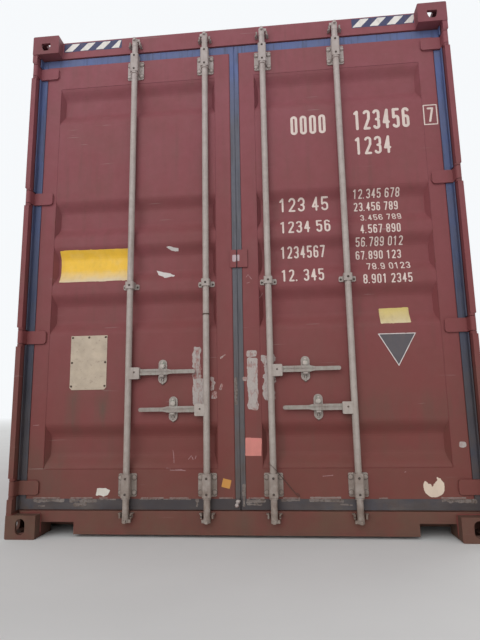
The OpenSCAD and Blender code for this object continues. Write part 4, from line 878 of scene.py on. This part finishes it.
class CONTAINER_OT_header_bars(bpy.types.Operator):
    """Paint the slanting bars at both ends of the header"""
    bl_idname = "container.header_bars"
    bl_label = "Header bars"

    def execute(self, context):
        beam = on_front(BEAM_Y)
        grounds, bars = [], []
        for seed, (x0, z0, x1, z1) in enumerate(BAR_GROUNDS):
            grounds.append(blot(x0, z0, x1, z1, 20 + seed, 0.0008, 0.002, place=beam))
            for n in range(4):
                start = x0 + 0.004 + 2 * BAR_W * n
                end = min(start + BAR_W, x1 - 0.002)
                corners = np.array([
                    (start, z0 + 0.003), (end, z0 + 0.003), (min(end + MITRE, x1 - 0.002), z1 - 0.004),
                    (min(start + MITRE, x1 - 0.003), z1 - 0.004)])

                def field(a, b):
                    return convex_field(a, b, corners) + 0.0006 * rough_edge(a, b, 0.012, 30 + n)
                bars.append(cut(field, (start - 0.003, z0), (x1, z1), 0.0025, UPPER_LIFT, beam))
        film("header_bar_ground", "container", marking("bar_ground_film", colours().navy, 0.35, 0.010),
             *grounds)
        film("header_bars", "container", marking("bar_film", (0.74, 0.70, 0.66), 0.30, 0.010), *bars)
        return {"FINISHED"}


class CONTAINER_OT_stickers(bpy.types.Operator):
    """Stick the small bare stickers and their torn remains on the leaves"""
    bl_idname = "container.stickers"
    bl_label = "Stickers"

    def execute(self, context):
        def crescent(a, b):
            disc = np.hypot(a - 0.960, (b - 0.248) * 1.02) - 0.051
            bite = 0.031 - np.hypot(a - 0.946, b - 0.288) + 0.009 * rough_edge(a, b, 0.014, 44)
            return np.maximum(disc + 0.0018 * rough_edge(a, b, 0.012, 45), bite)
        rag = torn([(-0.763, 0.208), (-0.722, 0.202), (-0.697, 0.207), (-0.688, 0.233), (-0.712, 0.243),
                    (-0.757, 0.241)], 43, 0.0022)
        film("salmon_sticker", "right_door", marking("salmon_film", (0.60, 0.215, 0.185), 0.22, 0.007),
             blot(0.028, 0.402, 0.112, 0.492, 41, 0.0005, turn=-0.02))
        film("orange_sticker", "left_door", marking("orange_film", (0.53, 0.25, 0.060), 0.12, 0.006),
             blot(-0.095, 0.2435, -0.051, 0.2865, 42, 0.0004, 0.002, -0.24, step=0.002))
        film("torn_sticker", "left_door", marking("paper_film", (0.60, 0.56, 0.50), 0.18, 0.008, 0.7), rag)
        film("torn_round_sticker", "right_door",
             marking("label_film", (0.66, 0.535, 0.425), 0.16, 0.008, 0.7),
             cut(crescent, (0.900, 0.188), (1.018, 0.304), 0.002))
        film("round_glue_mark", "right_door", glue_remains("round_glue", 0.7),
             blot(1.098, 0.436, 1.134, 0.461, 46, 0.004, 0.012))
        front = on_front(MEETING_LOW.y)
        mark = marking("seal_mark", (0.44, 0.34, 0.36), 0.5, 0.006)
        film("left_plate_mark", "left_door", mark,
             blot(-0.025, 1.440, -0.0040, 1.479, 47, 0.002, 0.006, step=0.002, place=front))
        film("right_plate_mark", "right_door", mark,
             blot(0.0040, 1.442, 0.015, 1.478, 48, 0.002, 0.004, step=0.002, place=front))
        return {"FINISHED"}


# Chalk strokes on the leaves, each from one end to the other
CHALK = {
    "left_door": [((-0.275, 0.385), (-0.262, 0.402)), ((-0.262, 0.402), (-0.250, 0.384)),
                  ((-0.240, 0.386), (-0.236, 0.402)), ((-0.390, 0.343), (-0.305, 0.335)),
                  ((-0.362, 0.430), (-0.350, 0.368)), ((-1.129, 0.570), (-1.095, 0.572)),
                  ((-0.369, 0.333), (-0.288, 0.330))],
    "right_door": [((0.049, 1.352), (0.060, 1.366)), ((0.060, 1.366), (0.078, 1.340)),
                   ((0.052, 1.318), (0.066, 1.322)), ((0.420, 0.300), (0.470, 0.304)),
                   ((0.824, 0.318), (0.830, 0.320)), ((0.120, 1.236), (0.136, 1.262))],
}


class CONTAINER_OT_scrapes(bpy.types.Operator):
    """Leave the glue, scrapes and chalk of the leaves' paint"""
    bl_idname = "container.scrapes"
    bl_label = "Scrapes"

    def execute(self, context):
        thick, upper, thin = (glue_remains(f"glue_{name}", cover)
                              for name, cover in (("thick", 0.85), ("upper", 0.66), ("thin", 0.42)))
        film("left_glue", "left_door", thick,
             blot(-0.247, 0.664, -0.190, 0.806, 51, 0.006, 0.006),
             blot(-0.248, 0.668, -0.215, 0.700, 64, 0.004, 0.006, lift=0.0008))
        film("left_glue_upper", "left_door", upper, blot(-0.246, 0.862, -0.206, 0.974, 52, 0.006, 0.012))
        film("left_glue_thin", "left_door", thin,
             blot(-0.246, 0.800, -0.200, 0.870, 53, 0.008, 0.006, lift=0.0003),
             blot(-0.150, 0.694, -0.118, 0.732, 54, 0.008, 0.014),
             blot(-0.152, 0.742, -0.132, 0.806, 55, 0.007, 0.008),
             blot(-0.102, 0.742, -0.088, 0.776, 56, 0.004, 0.005, -0.35, step=0.002),
             blot(-0.104, 0.914, -0.064, 0.927, 57, 0.004, 0.004, 0.60, step=0.002))
        film("right_glue", "right_door", thick,
             blot(0.046, 0.636, 0.100, 0.908, 58, 0.004, 0.010),
             blot(0.130, 0.690, 0.190, 0.920, 59, 0.009, 0.012))
        film("right_glue_upper", "right_door", upper,
             blot(0.044, 0.912, 0.098, 0.946, 65, 0.003, 0.010),
             blot(0.022, 0.788, 0.040, 0.806, 66, 0.004, 0.005, step=0.002))
        film("left_scrapes", "left_door",
             marking("scrape_filler", (0.60, 0.56, 0.54), 0.10, 0.006, 0.7),
             torn([(-0.408, 1.550), (-0.372, 1.528), (-0.334, 1.524), (-0.333, 1.539),
                   (-0.385, 1.552)], 60),
             torn([(-0.458, 1.421), (-0.448, 1.388), (-0.410, 1.370), (-0.360, 1.377), (-0.343, 1.391),
                   (-0.385, 1.400), (-0.432, 1.424)], 61, 0.003))
        chalk = marking("chalk", (0.33, 0.185, 0.185), 0.7, 0.004, 0.9)
        for body, lines in CHALK.items():
            cuts = []
            for n, (p, q) in enumerate(lines):
                def field(a, b):
                    return line_field(a, b, p, q) - 0.0016 + 0.0007 * rough_edge(a, b, 0.006, 62 + n)
                cuts.append(cut(field, np.minimum(p, q) - 0.005, np.maximum(p, q) + 0.005, 0.0014, 0.0003))
            film(f"{body}_chalk", body, chalk, *cuts, thick=0.0005)
        return {"FINISHED"}


# Rubber

# Blots of worn rubber along the lips: what blot takes, in its order
RUBBER_WEAR = {
    "left": [(-1.105, 0.174, -0.935, 0.188, 71, 0.004, 0.006, 0.02, 0.024),
             (-1.078, 0.150, -1.040, 0.156, 84, 0.002, 0.002, 0, 0.010),
             (-0.905, 0.172, -0.760, 0.188, 85, 0.004, 0.004, 0, 0.016),
             (-0.884, 0.152, -0.812, 0.172, 72, 0.005, 0.008, 0, 0.020, 0.003, 0.0016),
             (-0.750, 0.182, -0.655, 0.190, 73, 0.003, 0.003, 0, 0.018),
             (-0.530, 0.185, -0.260, 0.190, 74, 0.002, 0.002, 0, 0.020),
             (-0.233, 0.146, -0.219, 0.192, 75, 0.005, 0.005, 0, 0.014),
             (-0.024, 0.664, -0.009, 0.806, 76, 0.003, 0.003, 0, 0.030, 0.003, 0.0015)],
    "right": [(0.010, 0.152, 0.024, 0.262, 77, 0.004, 0.004, 0, 0.030, 0.003, 0.0016),
              (0.030, 0.170, 0.125, 0.189, 78, 0.006, 0.005, 0, 0.018),
              (0.030, 0.158, 0.110, 0.166, 86, 0.002, 0.003, 0, 0.014),
              (0.205, 0.178, 0.300, 0.189, 87, 0.003, 0.003, 0, 0.018),
              (0.345, 0.174, 0.520, 0.191, 79, 0.003, 0.007, -0.02, 0.026),
              (0.500, 0.158, 0.560, 0.165, 80, 0.002, 0.003, -0.06, 0.014),
              (0.992, 0.172, 1.160, 0.190, 81, 0.004, 0.006, -0.03, 0.022)],
}
# Scraped stretches of a leaf's lower edge: left and right end, height
EDGE_WEAR = {
    "left_door": [(-1.110, -0.960, 0.0060), (-0.900, -0.780, 0.0065), (-0.745, -0.700, 0.0060),
                  (-0.520, -0.400, 0.0060), (-0.370, -0.270, 0.0060), (-0.110, -0.040, 0.0060)],
    "right_door": [(0.040, 0.120, 0.0060), (0.215, 0.300, 0.0065), (0.350, 0.505, 0.0100),
                   (0.690, 0.735, 0.0060), (0.990, 1.110, 0.0085)],
}


class CONTAINER_OT_seal_edges(bpy.types.Operator):
    """Close the doors' meeting edge with a bead on each lip, and wear the rubber along the sill"""
    bl_idname = "container.seal_edges"
    bl_label = "Seal edges"

    def execute(self, context):
        rubber = seal_rubber("bead_rubber")
        r = 0.0034
        for body, side, _ in LEAVES:
            path = evenly([(side * r, LIP_Y + 0.003, z) for z in (SEAL_LOW.z, SEAL_HIGH.z)], 0.2)[0]
            new_piece(f"{body}_meeting_bead", body, rubber, swept(path, (0, -1, 0), np.full(len(path), r)),
                      smooth=True)
        worn = worn_rubber("worn_rubber")
        for side, rows in RUBBER_WEAR.items():
            film(f"{side}_rubber_wear", f"{side}_door", worn,
                 *(blot(*row, place=on_front(LIP_Y)) for row in rows), slot=RUBBER_SLOT, thick=0.0018)
        scraped = marking("edge_wear", (0.235, 0.178, 0.160), 0.6, 0.007, 0.8)
        for body, runs in EDGE_WEAR.items():
            film(f"{body}_edge_wear", body, scraped,
                 *(blot(x0, LEAF_LOW.z + 0.0016, x1, LEAF_LOW.z + high, 100 + n, 0.0014, 0.001, 0, 0.012,
                        0.0022, 0.0004) for n, (x0, x1, high) in enumerate(runs)))
        lump = turned([(0.010, 0.0), (0.0112, 0.004), (0.0085, 0.009), (0.004, 0.012)], 14)
        points, faces = scattered(lump, [(-0.014, LIP_Y, 0.176), (-0.020, LIP_Y, 0.158)], 82)
        points = points + 0.0022 * rough_edge(points[:, :1] * 3, points[:, 2:], 0.006, 83) * [1, 0, 1]
        new_piece("left_mud_lumps", "left_door", glue_remains("mud_lump", 0.8), (points, faces),
                  smooth=True)
        return {"FINISHED"}


# Fasteners

class CONTAINER_OT_bolts(bpy.types.Operator):
    """Put the bolts and rivets on the brackets, retainers, hubs and keepers"""
    bl_idname = "container.bolts"
    bl_label = "Bolts"

    def execute(self, context):
        own = sizes()
        pale = grey_gear("bolt_finish", 0.45, 0.9, 1.12)
        dark = marking("rivet_finish", (0.060, 0.045, 0.038), 0.5, 0.004)
        # Dark seats under the bracket bolts and rings under the retainers' lower rivets: painted shadow
        # round the heads, with dirt clouds; the hub rivets share this dark finish
        shadow_and_grime = marking("bolt_seat_shadow_and_grime", (0.100, 0.076, 0.064), 0.6, 0.005)
        # Gear lightened well above its own colour: painted highlight on the catch nuts and their seats, and
        # on the retainers' pins and lower rivets
        painted_highlight = grey_gear("nut_painted_highlight", 0.25, 0.4, 1.35, 0.35)
        nut = turned([(0.0108, -0.0005), (0.0108, 0.0026), (0.0092, 0.0035), (0.0030, 0.0036)], 6)
        nut_seat = turned([(0.0132, -0.0005), (0.0132, 0.0008), (0.0124, 0.0011)], 18)
        wide = own.bolt_r * 1.48
        seat = turned([(wide, -0.0008), (wide, 0.0009), (own.bolt_r * 1.35, 0.0013)], 16)
        ring = turned([(0.0088, -0.0008), (0.0088, 0.0008), (0.0078, 0.0012)], 16)

        def put(name, body, finish, *rows, slot=GEAR_SLOT, smooth=True):
            """One piece of the shapes scattered over their places by their seeds."""
            new_piece(name, body, finish, joined([scattered(*row) for row in rows]), smooth)
        for body, _, numbers in LEAVES:
            rods = [ROD_X[n] for n in numbers]
            bolts = [(x + dx, PLATE_FRONT_Y, z + dz) for x in rods for z in BRACKET_ZS
                     for dx in (-0.0362, 0.0362) for dz in (0.020, 0.095)]
            rivets = [(x, BRACKET_LOW.y, z) for x in rods for z in (
                BRACKET_ZS[0] + 0.016, BRACKET_ZS[0] + 0.094, CLAMP_Z, BRACKET_ZS[1] + 0.047,
                BRACKET_ZS[1] + 0.134)]
            ears = [(x + dx, PLATE_FRONT_Y, CLAMP_Z - 0.006) for x in rods for dx in (-0.0355, 0.0355)]
            pins = [(RETAINER_X[n], CATCH_LOW.y + 0.0018, HANDLE_Z[n] + CATCH_PIVOT) for n in numbers]
            lobes = [(x, PLATE_FRONT_Y, z - drop) for x, _, z in pins for drop in (0.090, 0.109)]
            put(f"{body}_bracket_bolts", body, pale, (bolt_shape(own.bolt_r, own.bolt_h), bolts, 91),
                smooth=False)
            put(f"{body}_bracket_rivets", body, dark, (rivet_shape(own.rivet_r, own.rivet_h), rivets, 92),
                (rivet_shape(0.0060, 0.0030), ears, 99))
            put(f"{body}_retainer_rivets", body, painted_highlight, (rivet_shape(0.0066, 0.005), pins, 93),
                (rivet_shape(0.0050, 0.004), lobes, 94))
            put(f"{body}_bolt_seats", body, shadow_and_grime, (seat, bolts, 91), (ring, lobes, 94), smooth=False)
            for n in numbers:
                places = [(ROD_X[n] + HANDLE_SIDE[n] * HUB_PIVOT, HUB_Y, HANDLE_Z[n])]
                put(f"hub_rivet_{n + 1}", f"rod_{n + 1}", shadow_and_grime,
                    (rivet_shape(0.0050, 0.0030), places, n + 1))
            for n in numbers:
                places = [(RETAINER_X[n], CATCH_LOW.y, HANDLE_Z[n] + CATCH_NUT)]
                put(f"catch_nut_{n + 1}", f"catch_{n + 1}", painted_highlight, (nut_seat, places, n + 1),
                    (nut, places, n + 1), smooth=False)
        pins = [(x + side * KEEPER_OFF, KEEPER_LOW.y, KEEPER_LOW.z + 0.010)
                for x, side in zip(ROD_X, HANDLE_SIDE)]
        put("keeper_pins", "container", dark, (rivet_shape(0.0044, 0.0030), pins, 95), slot=PAINT_SLOT)
        caps = [cap_shape(x, side, level, up) for x in ROD_X for side in (-1, 1)
                for level, up in ((KEEPER_LOW.z + KEEPER_H, 1), (KEEPER_HIGH.z - KEEPER_H, -1))]
        new_piece("keeper_caps", "container", grey_gear("keeper_cap_finish", 0.55, 0.7, 0.95),
                  joined(caps))
        return {"FINISHED"}


class CONTAINER_OT_plate_rivets(bpy.types.Operator):
    """Rivet the data plate to the left leaf"""
    bl_idname = "container.plate_rivets"
    bl_label = "Plate rivets"

    def execute(self, context):
        middle = (PLATE_LOW + PLATE_HIGH) / 2
        half_w = (PLATE_HIGH.x - PLATE_LOW.x) / 2 - 0.009
        half_h = (PLATE_HIGH.z - PLATE_LOW.z) / 2 - 0.010
        places = [(middle.x + i * half_w, PLATE_LOW.y,
                   middle.z + j * half_h * (0.93 if i and j < 0 else 1.0))
                  for i, j in ((-1, -1), (1, -1), (-1, 0), (1, 0), (-1, 1), (0, 1), (1, 1))]
        rust = marking("plate_rivet_finish", (0.070, 0.045, 0.034), 0.3, 0.004)
        new_piece("data_plate_rivets", "left_door", rust,
                  scattered(rivet_shape(0.0062, 0.0022), places, 96), smooth=True)
        return {"FINISHED"}


class CONTAINER_OT_floor_screws(bpy.types.Operator):
    """Sink rows of screws into the floor over its cross members"""
    bl_idname = "container.floor_screws"
    bl_label = "Floor screws"

    def execute(self, context):
        pitch, per_row = 0.300, 9
        rows = np.arange(BOARD_LOW.y + 0.080, BOARD_HIGH.y - 0.05, pitch)
        across = np.linspace(0.060, BOARD_HIGH.x - 0.040, per_row)
        x, y = np.meshgrid(np.concatenate([-across[::-1], across]), rows, indexing="ij")
        places = np.stack([x, y, np.full_like(x, BOARD_HIGH.z)], -1).reshape(-1, 3)
        screw = turned([(0.0068, -0.0006), (0.0068, 0.0003), (0.0030, 0.0005)], 8)
        new_piece("floor_screws", "container", grey_gear("screw_finish", rust=0.8),
                  scattered(screw, places, 97, UPWARD))
        return {"FINISHED"}


# Welds and wire

def wall_wave():
    """Plan of a side wall's outer face: flats joined by slopes, repeated from one end to the other."""
    flat, slope, depth = 0.072, 0.067, WALL_HIGH.x - WALL_LOW.x - SHEET
    pitch = 2 * (flat + slope)
    y0, y1 = WALL_LOW.y, WALL_HIGH.y
    count = int((y1 - y0 - flat) // pitch)
    start = (y0 + y1 - count * pitch - flat) / 2 + np.arange(count)[:, None] * pitch
    ys = (start + np.array([flat, flat + slope, 2 * flat + slope, pitch])).ravel()
    inward = np.tile([0.0, depth, depth, 0.0], count)
    return np.concatenate([[y0], ys, [y1]]), np.concatenate([[0.0], inward, [0.0]])


class CONTAINER_OT_welds(bpy.types.Operator):
    """Lay the weld beads of the frame, the leaves and the side walls"""
    bl_idname = "container.welds"
    bl_label = "Welds"

    def execute(self, context):
        metal = weld_metal("weld_metal")

        def lay(name, body, rows):
            """One piece of beads: both ends or a path, the way outward, and what bead takes next."""
            new_piece(name, body, metal, joined([bead(*row) for row in rows]), smooth=True)
        rows = []
        post_y, fitting_z = POST_LOW.y, FITTING_HIGH.z
        for s in (-1, 1):
            inner, nose = s * FITTING_INNER_X, s * POST_NOSE_X
            for z, up in ((fitting_z, 1), (TOP_FITTING_Z, -1)):
                rows += [([(s * POST_EDGE_X, post_y + 0.0012, z), (nose, post_y + 0.0012, z)],
                          (0, -0.7, 0.7 * up)),
                         ([(nose, post_y + 0.002, z), (nose, post_y + 0.074, z)], (-0.7 * s, 0, 0.7 * up))]
            for z0, z1 in ((SILL_LOW.z + 0.004, fitting_z), (TOP_FITTING_Z + 0.002, HEADER_HIGH.z - 0.012)):
                rows.append(([(inner, BEAM_Y, z0), (inner, BEAM_Y, z1)], (-0.7 * s, -0.7, 0)))
            rows.append(([(inner, BEAM_Y, fitting_z), (s * POST_STEP_X, BEAM_Y, fitting_z)],
                         (0, -0.7, 0.7)))
        for x in ROD_X:
            for dx, out in ((-0.034, -1), (-0.024, 1), (0.024, -1), (0.034, 1)):
                for z in (KEEPER_LOW.z, KEEPER_HIGH.z - KEEPER_H):
                    rows.append(([(x + dx, BEAM_Y, z + 0.001), (x + dx, BEAM_Y, z + 0.019)],
                                 (0.7 * out, -0.7, 0), 0.0026, 0.008))
        lay("frame_welds", "container", rows)
        blade_end = abs(HINGE_HIGH.x)
        z0, z1 = PANEL_LOW.z, PANEL_HIGH.z
        for body, s, _ in LEAVES:
            rows = []
            for z in HINGE_ZS:
                for dz in (-BLADE_H / 2, BLADE_H / 2):
                    rows.append(([(s * x, FACE_Y, z + dz) for x in (BLADE_TIP_X, blade_end + 0.014)],
                                 (0, -0.7, math.copysign(0.7, dz)), 0.0034))
                rows.append(([(s * blade_end, FACE_Y, z - 0.022), (s * blade_end, FACE_Y, z + 0.022)],
                             (-0.7 * s, -0.7, 0), 0.0034))
            x0, x1 = s * abs(PANEL_HIGH.x), s * abs(PANEL_LOW.x)
            for ends in (((x0, z0), (x0, z1)), ((x1, z0), (x1, z1)), ((x0, z0), (x1, z0)),
                         ((x0, z1), (x1, z1))):
                rows.append(([(x, FACE_Y + 0.0006, z) for x, z in ends], (0, -1, 0), 0.0018, 0.024))
            lay(f"{body}_welds", body, rows)
        y, inward = wall_wave()
        for side, s in (("left", -1), ("right", 1)):
            path = np.stack([s * (abs(WALL_LOW.x) - inward), y, np.zeros_like(y)], -1)
            lay(f"{side}_wall_welds", "container",
                [(path + [0, 0, z], (0.7 * s, 0, 0.7 * up), 0.0024, 0.036)
                 for z, up in ((WALL_LOW.z, 1), (WALL_HIGH.z, -1))])
        return {"FINISHED"}


class CONTAINER_OT_tie_wire(bpy.types.Operator):
    """Bend the stiff tie wire hooked round the third rod, and put the ring on the second rod"""
    bl_idname = "container.tie_wire"
    bl_label = "Tie wire"

    def execute(self, context):
        path = eased([(0.176, -6.040, 0.372), (0.152, -6.048, 0.370), (0.150, -6.068, 0.366),
                      (0.163, -6.0795, 0.357), (0.181, -6.0790, 0.340), (0.196, -6.066, 0.322),
                      (0.207, -6.048, 0.304), (0.226, -6.040, 0.281), (0.250, -6.037, 0.251),
                      (0.273, -6.036, 0.224), (0.290, -6.037, 0.205), (0.297, -6.041, 0.203),
                      (0.295, -6.044, 0.213), (0.287, -6.040, 0.219)])
        wire = marking("wire_finish", (0.085, 0.055, 0.045), 0.6, 0.004)
        new_piece("tie_wire", "right_door", wire, swept(path, (1, 0.2, 1), np.full(len(path), 0.0014)),
                  smooth=True)
        ring = turned([(0.0172, -0.004), (0.0192, -0.003), (0.0192, 0.003), (0.0172, 0.004)], 32)
        new_piece("rod_ring", "rod_2", wire, scattered(ring, [(ROD_X[1], ROD_Y, 1.148)], 98, UPWARD),
                  smooth=True)
        return {"FINISHED"}


# Stage

BACKDROP = (0.93, 0.95, 0.97)


def make_floor(size):
    """Plain pale floor that fades into the background far from the container."""
    f = Finish("floor_finish", 0.0)
    f.plug(f.shader.inputs["Roughness"], 0.9)
    f.plug(f.shader.inputs["Base Color"],
           f.blend(f.cloud(0.5, 0.2, 0.8, 1, 3, 0.5), (0.70, 0.70, 0.69), (0.74, 0.74, 0.73)))
    far = f.spread(f.add("VectorMath", "Value", {0: f.coords}, operation="LENGTH"), 9.0, 26.0)
    rays = f.add("LightPath", None, {}).outputs
    seen = f.sum("MAXIMUM", rays["Is Camera Ray"], rays["Is Glossy Ray"])
    glow = f.add("Emission", 0, {"Color": BACKDROP})
    mixed = f.add("MixShader", 0, {0: f.times(far, seen), 1: f.shader.outputs[0], 2: glow})
    f.plug(f.tree.nodes["Material Output"].inputs["Surface"], mixed)
    side = np.linspace(-size / 2, size / 2, 9)
    x, y = np.meshgrid(side, side, indexing="ij")
    mesh = bpy.data.meshes.new("floor")
    mesh.from_pydata(np.stack([x, y, np.zeros_like(x)], -1).reshape(-1, 3).tolist(), [],
                     grid_faces(9, 9).tolist())
    mesh.materials.append(f.material)
    floor = bpy.data.objects.new("floor", mesh)
    bpy.context.scene.collection.objects.link(floor)


def make_sky(power):
    """Even white light, seen as a pale background by the camera and in reflections."""
    world = bpy.data.worlds.new("sky")
    bpy.context.scene.world = world
    world.use_nodes = True
    world.node_tree.nodes.clear()
    sky = Nodes(world.node_tree)
    rays = sky.add("LightPath", None, {}).outputs
    clear = sky.sum("MAXIMUM", rays["Is Camera Ray"], rays["Is Glossy Ray"])
    clear = sky.sum("MAXIMUM", clear, rays["Is Transmission Ray"])
    light = sky.add("Background", 0, {"Color": (0.97, 0.985, 1.0), "Strength": power})
    seen = sky.add("Background", 0, {"Color": BACKDROP, "Strength": 1.0})
    mixed = sky.add("MixShader", 0, {0: clear, 1: light, 2: seen})
    sky.add("OutputWorld", None, {"Surface": mixed})


def make_lamp(name, direction, power, disc):
    """Distant lamp that shines along the direction, with a wide disc in degrees for soft shadows."""
    data = bpy.data.lights.new(name, "SUN")
    data.energy = power
    data.angle = math.radians(disc)
    lamp = bpy.data.objects.new(name, data)
    lamp.matrix_world = Vector(direction).to_track_quat("-Z", "Y").to_matrix().to_4x4()
    bpy.context.scene.collection.objects.link(lamp)


def make_camera(stage):
    """Camera at the place, lens and turn fitted to the corners of the container in the photograph."""
    yaw, pitch, roll = stage.camera_yaw, stage.camera_pitch, stage.camera_roll
    ahead = Vector((-math.sin(yaw) * math.cos(pitch), math.cos(yaw) * math.cos(pitch), math.sin(pitch)))
    right = Vector((math.cos(yaw), math.sin(yaw), 0.0))
    up = right.cross(ahead)
    right, up = (math.cos(roll) * right + math.sin(roll) * up, math.cos(roll) * up - math.sin(roll) * right)
    data = bpy.data.cameras.new("camera")
    data.lens = stage.lens
    data.sensor_width = 36.0
    data.clip_start = 0.05
    data.clip_end = 400.0
    camera = bpy.data.objects.new("camera", data)
    turn = Matrix((right, up, -ahead)).transposed().to_4x4()
    camera.matrix_world = Matrix.Translation(stage.camera_place) @ turn
    bpy.context.scene.collection.objects.link(camera)
    bpy.context.scene.camera = camera


class CONTAINER_OT_stage(bpy.types.Operator):
    """Make the floor, the lamps, the sky and the camera"""
    bl_idname = "container.stage"
    bl_label = "Stage"

    def execute(self, context):
        stage = context.scene.container_stage
        make_floor(stage.floor_size)
        make_sky(stage.sky_strength)
        make_lamp("key", (0.25, 0.90, -0.36), stage.key_strength, 60)
        make_lamp("fill", (-0.55, -0.8, -0.6), stage.fill_strength, 50)
        make_camera(stage)
        context.scene.view_settings.view_transform = "Standard"
        return {"FINISHED"}


class CONTAINER_PT_sidebar(bpy.types.Panel):
    """Buttons of the operators, and the colours, sizes and stage"""
    bl_idname = "CONTAINER_PT_sidebar"
    bl_label = "Container"
    bl_space_type = "VIEW_3D"
    bl_region_type = "UI"
    bl_category = "Container"

    def draw(self, context):
        for operator in OPERATORS:
            self.layout.operator(operator.bl_idname)
        for group in (context.scene.container_colours, context.scene.container_sizes,
                      context.scene.container_stage):
            for name in group.bl_rna.properties.keys():
                if name not in ("rna_type", "name"):
                    self.layout.prop(group, name)


OPERATORS = (CONTAINER_OT_stage, CONTAINER_OT_finishes, CONTAINER_OT_figures, CONTAINER_OT_signs,
             CONTAINER_OT_header_bars, CONTAINER_OT_stickers, CONTAINER_OT_scrapes,
             CONTAINER_OT_seal_edges, CONTAINER_OT_bolts, CONTAINER_OT_plate_rivets,
             CONTAINER_OT_floor_screws, CONTAINER_OT_welds, CONTAINER_OT_tie_wire)
GROUPS = (ContainerColours, ContainerStage, ContainerSizes)


def register():
    for item in (*GROUPS, *OPERATORS, CONTAINER_PT_sidebar):
        bpy.utils.register_class(item)
    bpy.types.Scene.container_colours = PointerProperty(type=ContainerColours)
    bpy.types.Scene.container_stage = PointerProperty(type=ContainerStage)
    bpy.types.Scene.container_sizes = PointerProperty(type=ContainerSizes)


def unregister():
    del bpy.types.Scene.container_sizes
    del bpy.types.Scene.container_stage
    del bpy.types.Scene.container_colours
    for item in reversed((*GROUPS, *OPERATORS, CONTAINER_PT_sidebar)):
        bpy.utils.unregister_class(item)


def main():
    register()
    for operator in OPERATORS:
        group, name = operator.bl_idname.split(".")
        getattr(getattr(bpy.ops, group), name)()


if __name__ == "__main__":
    main()
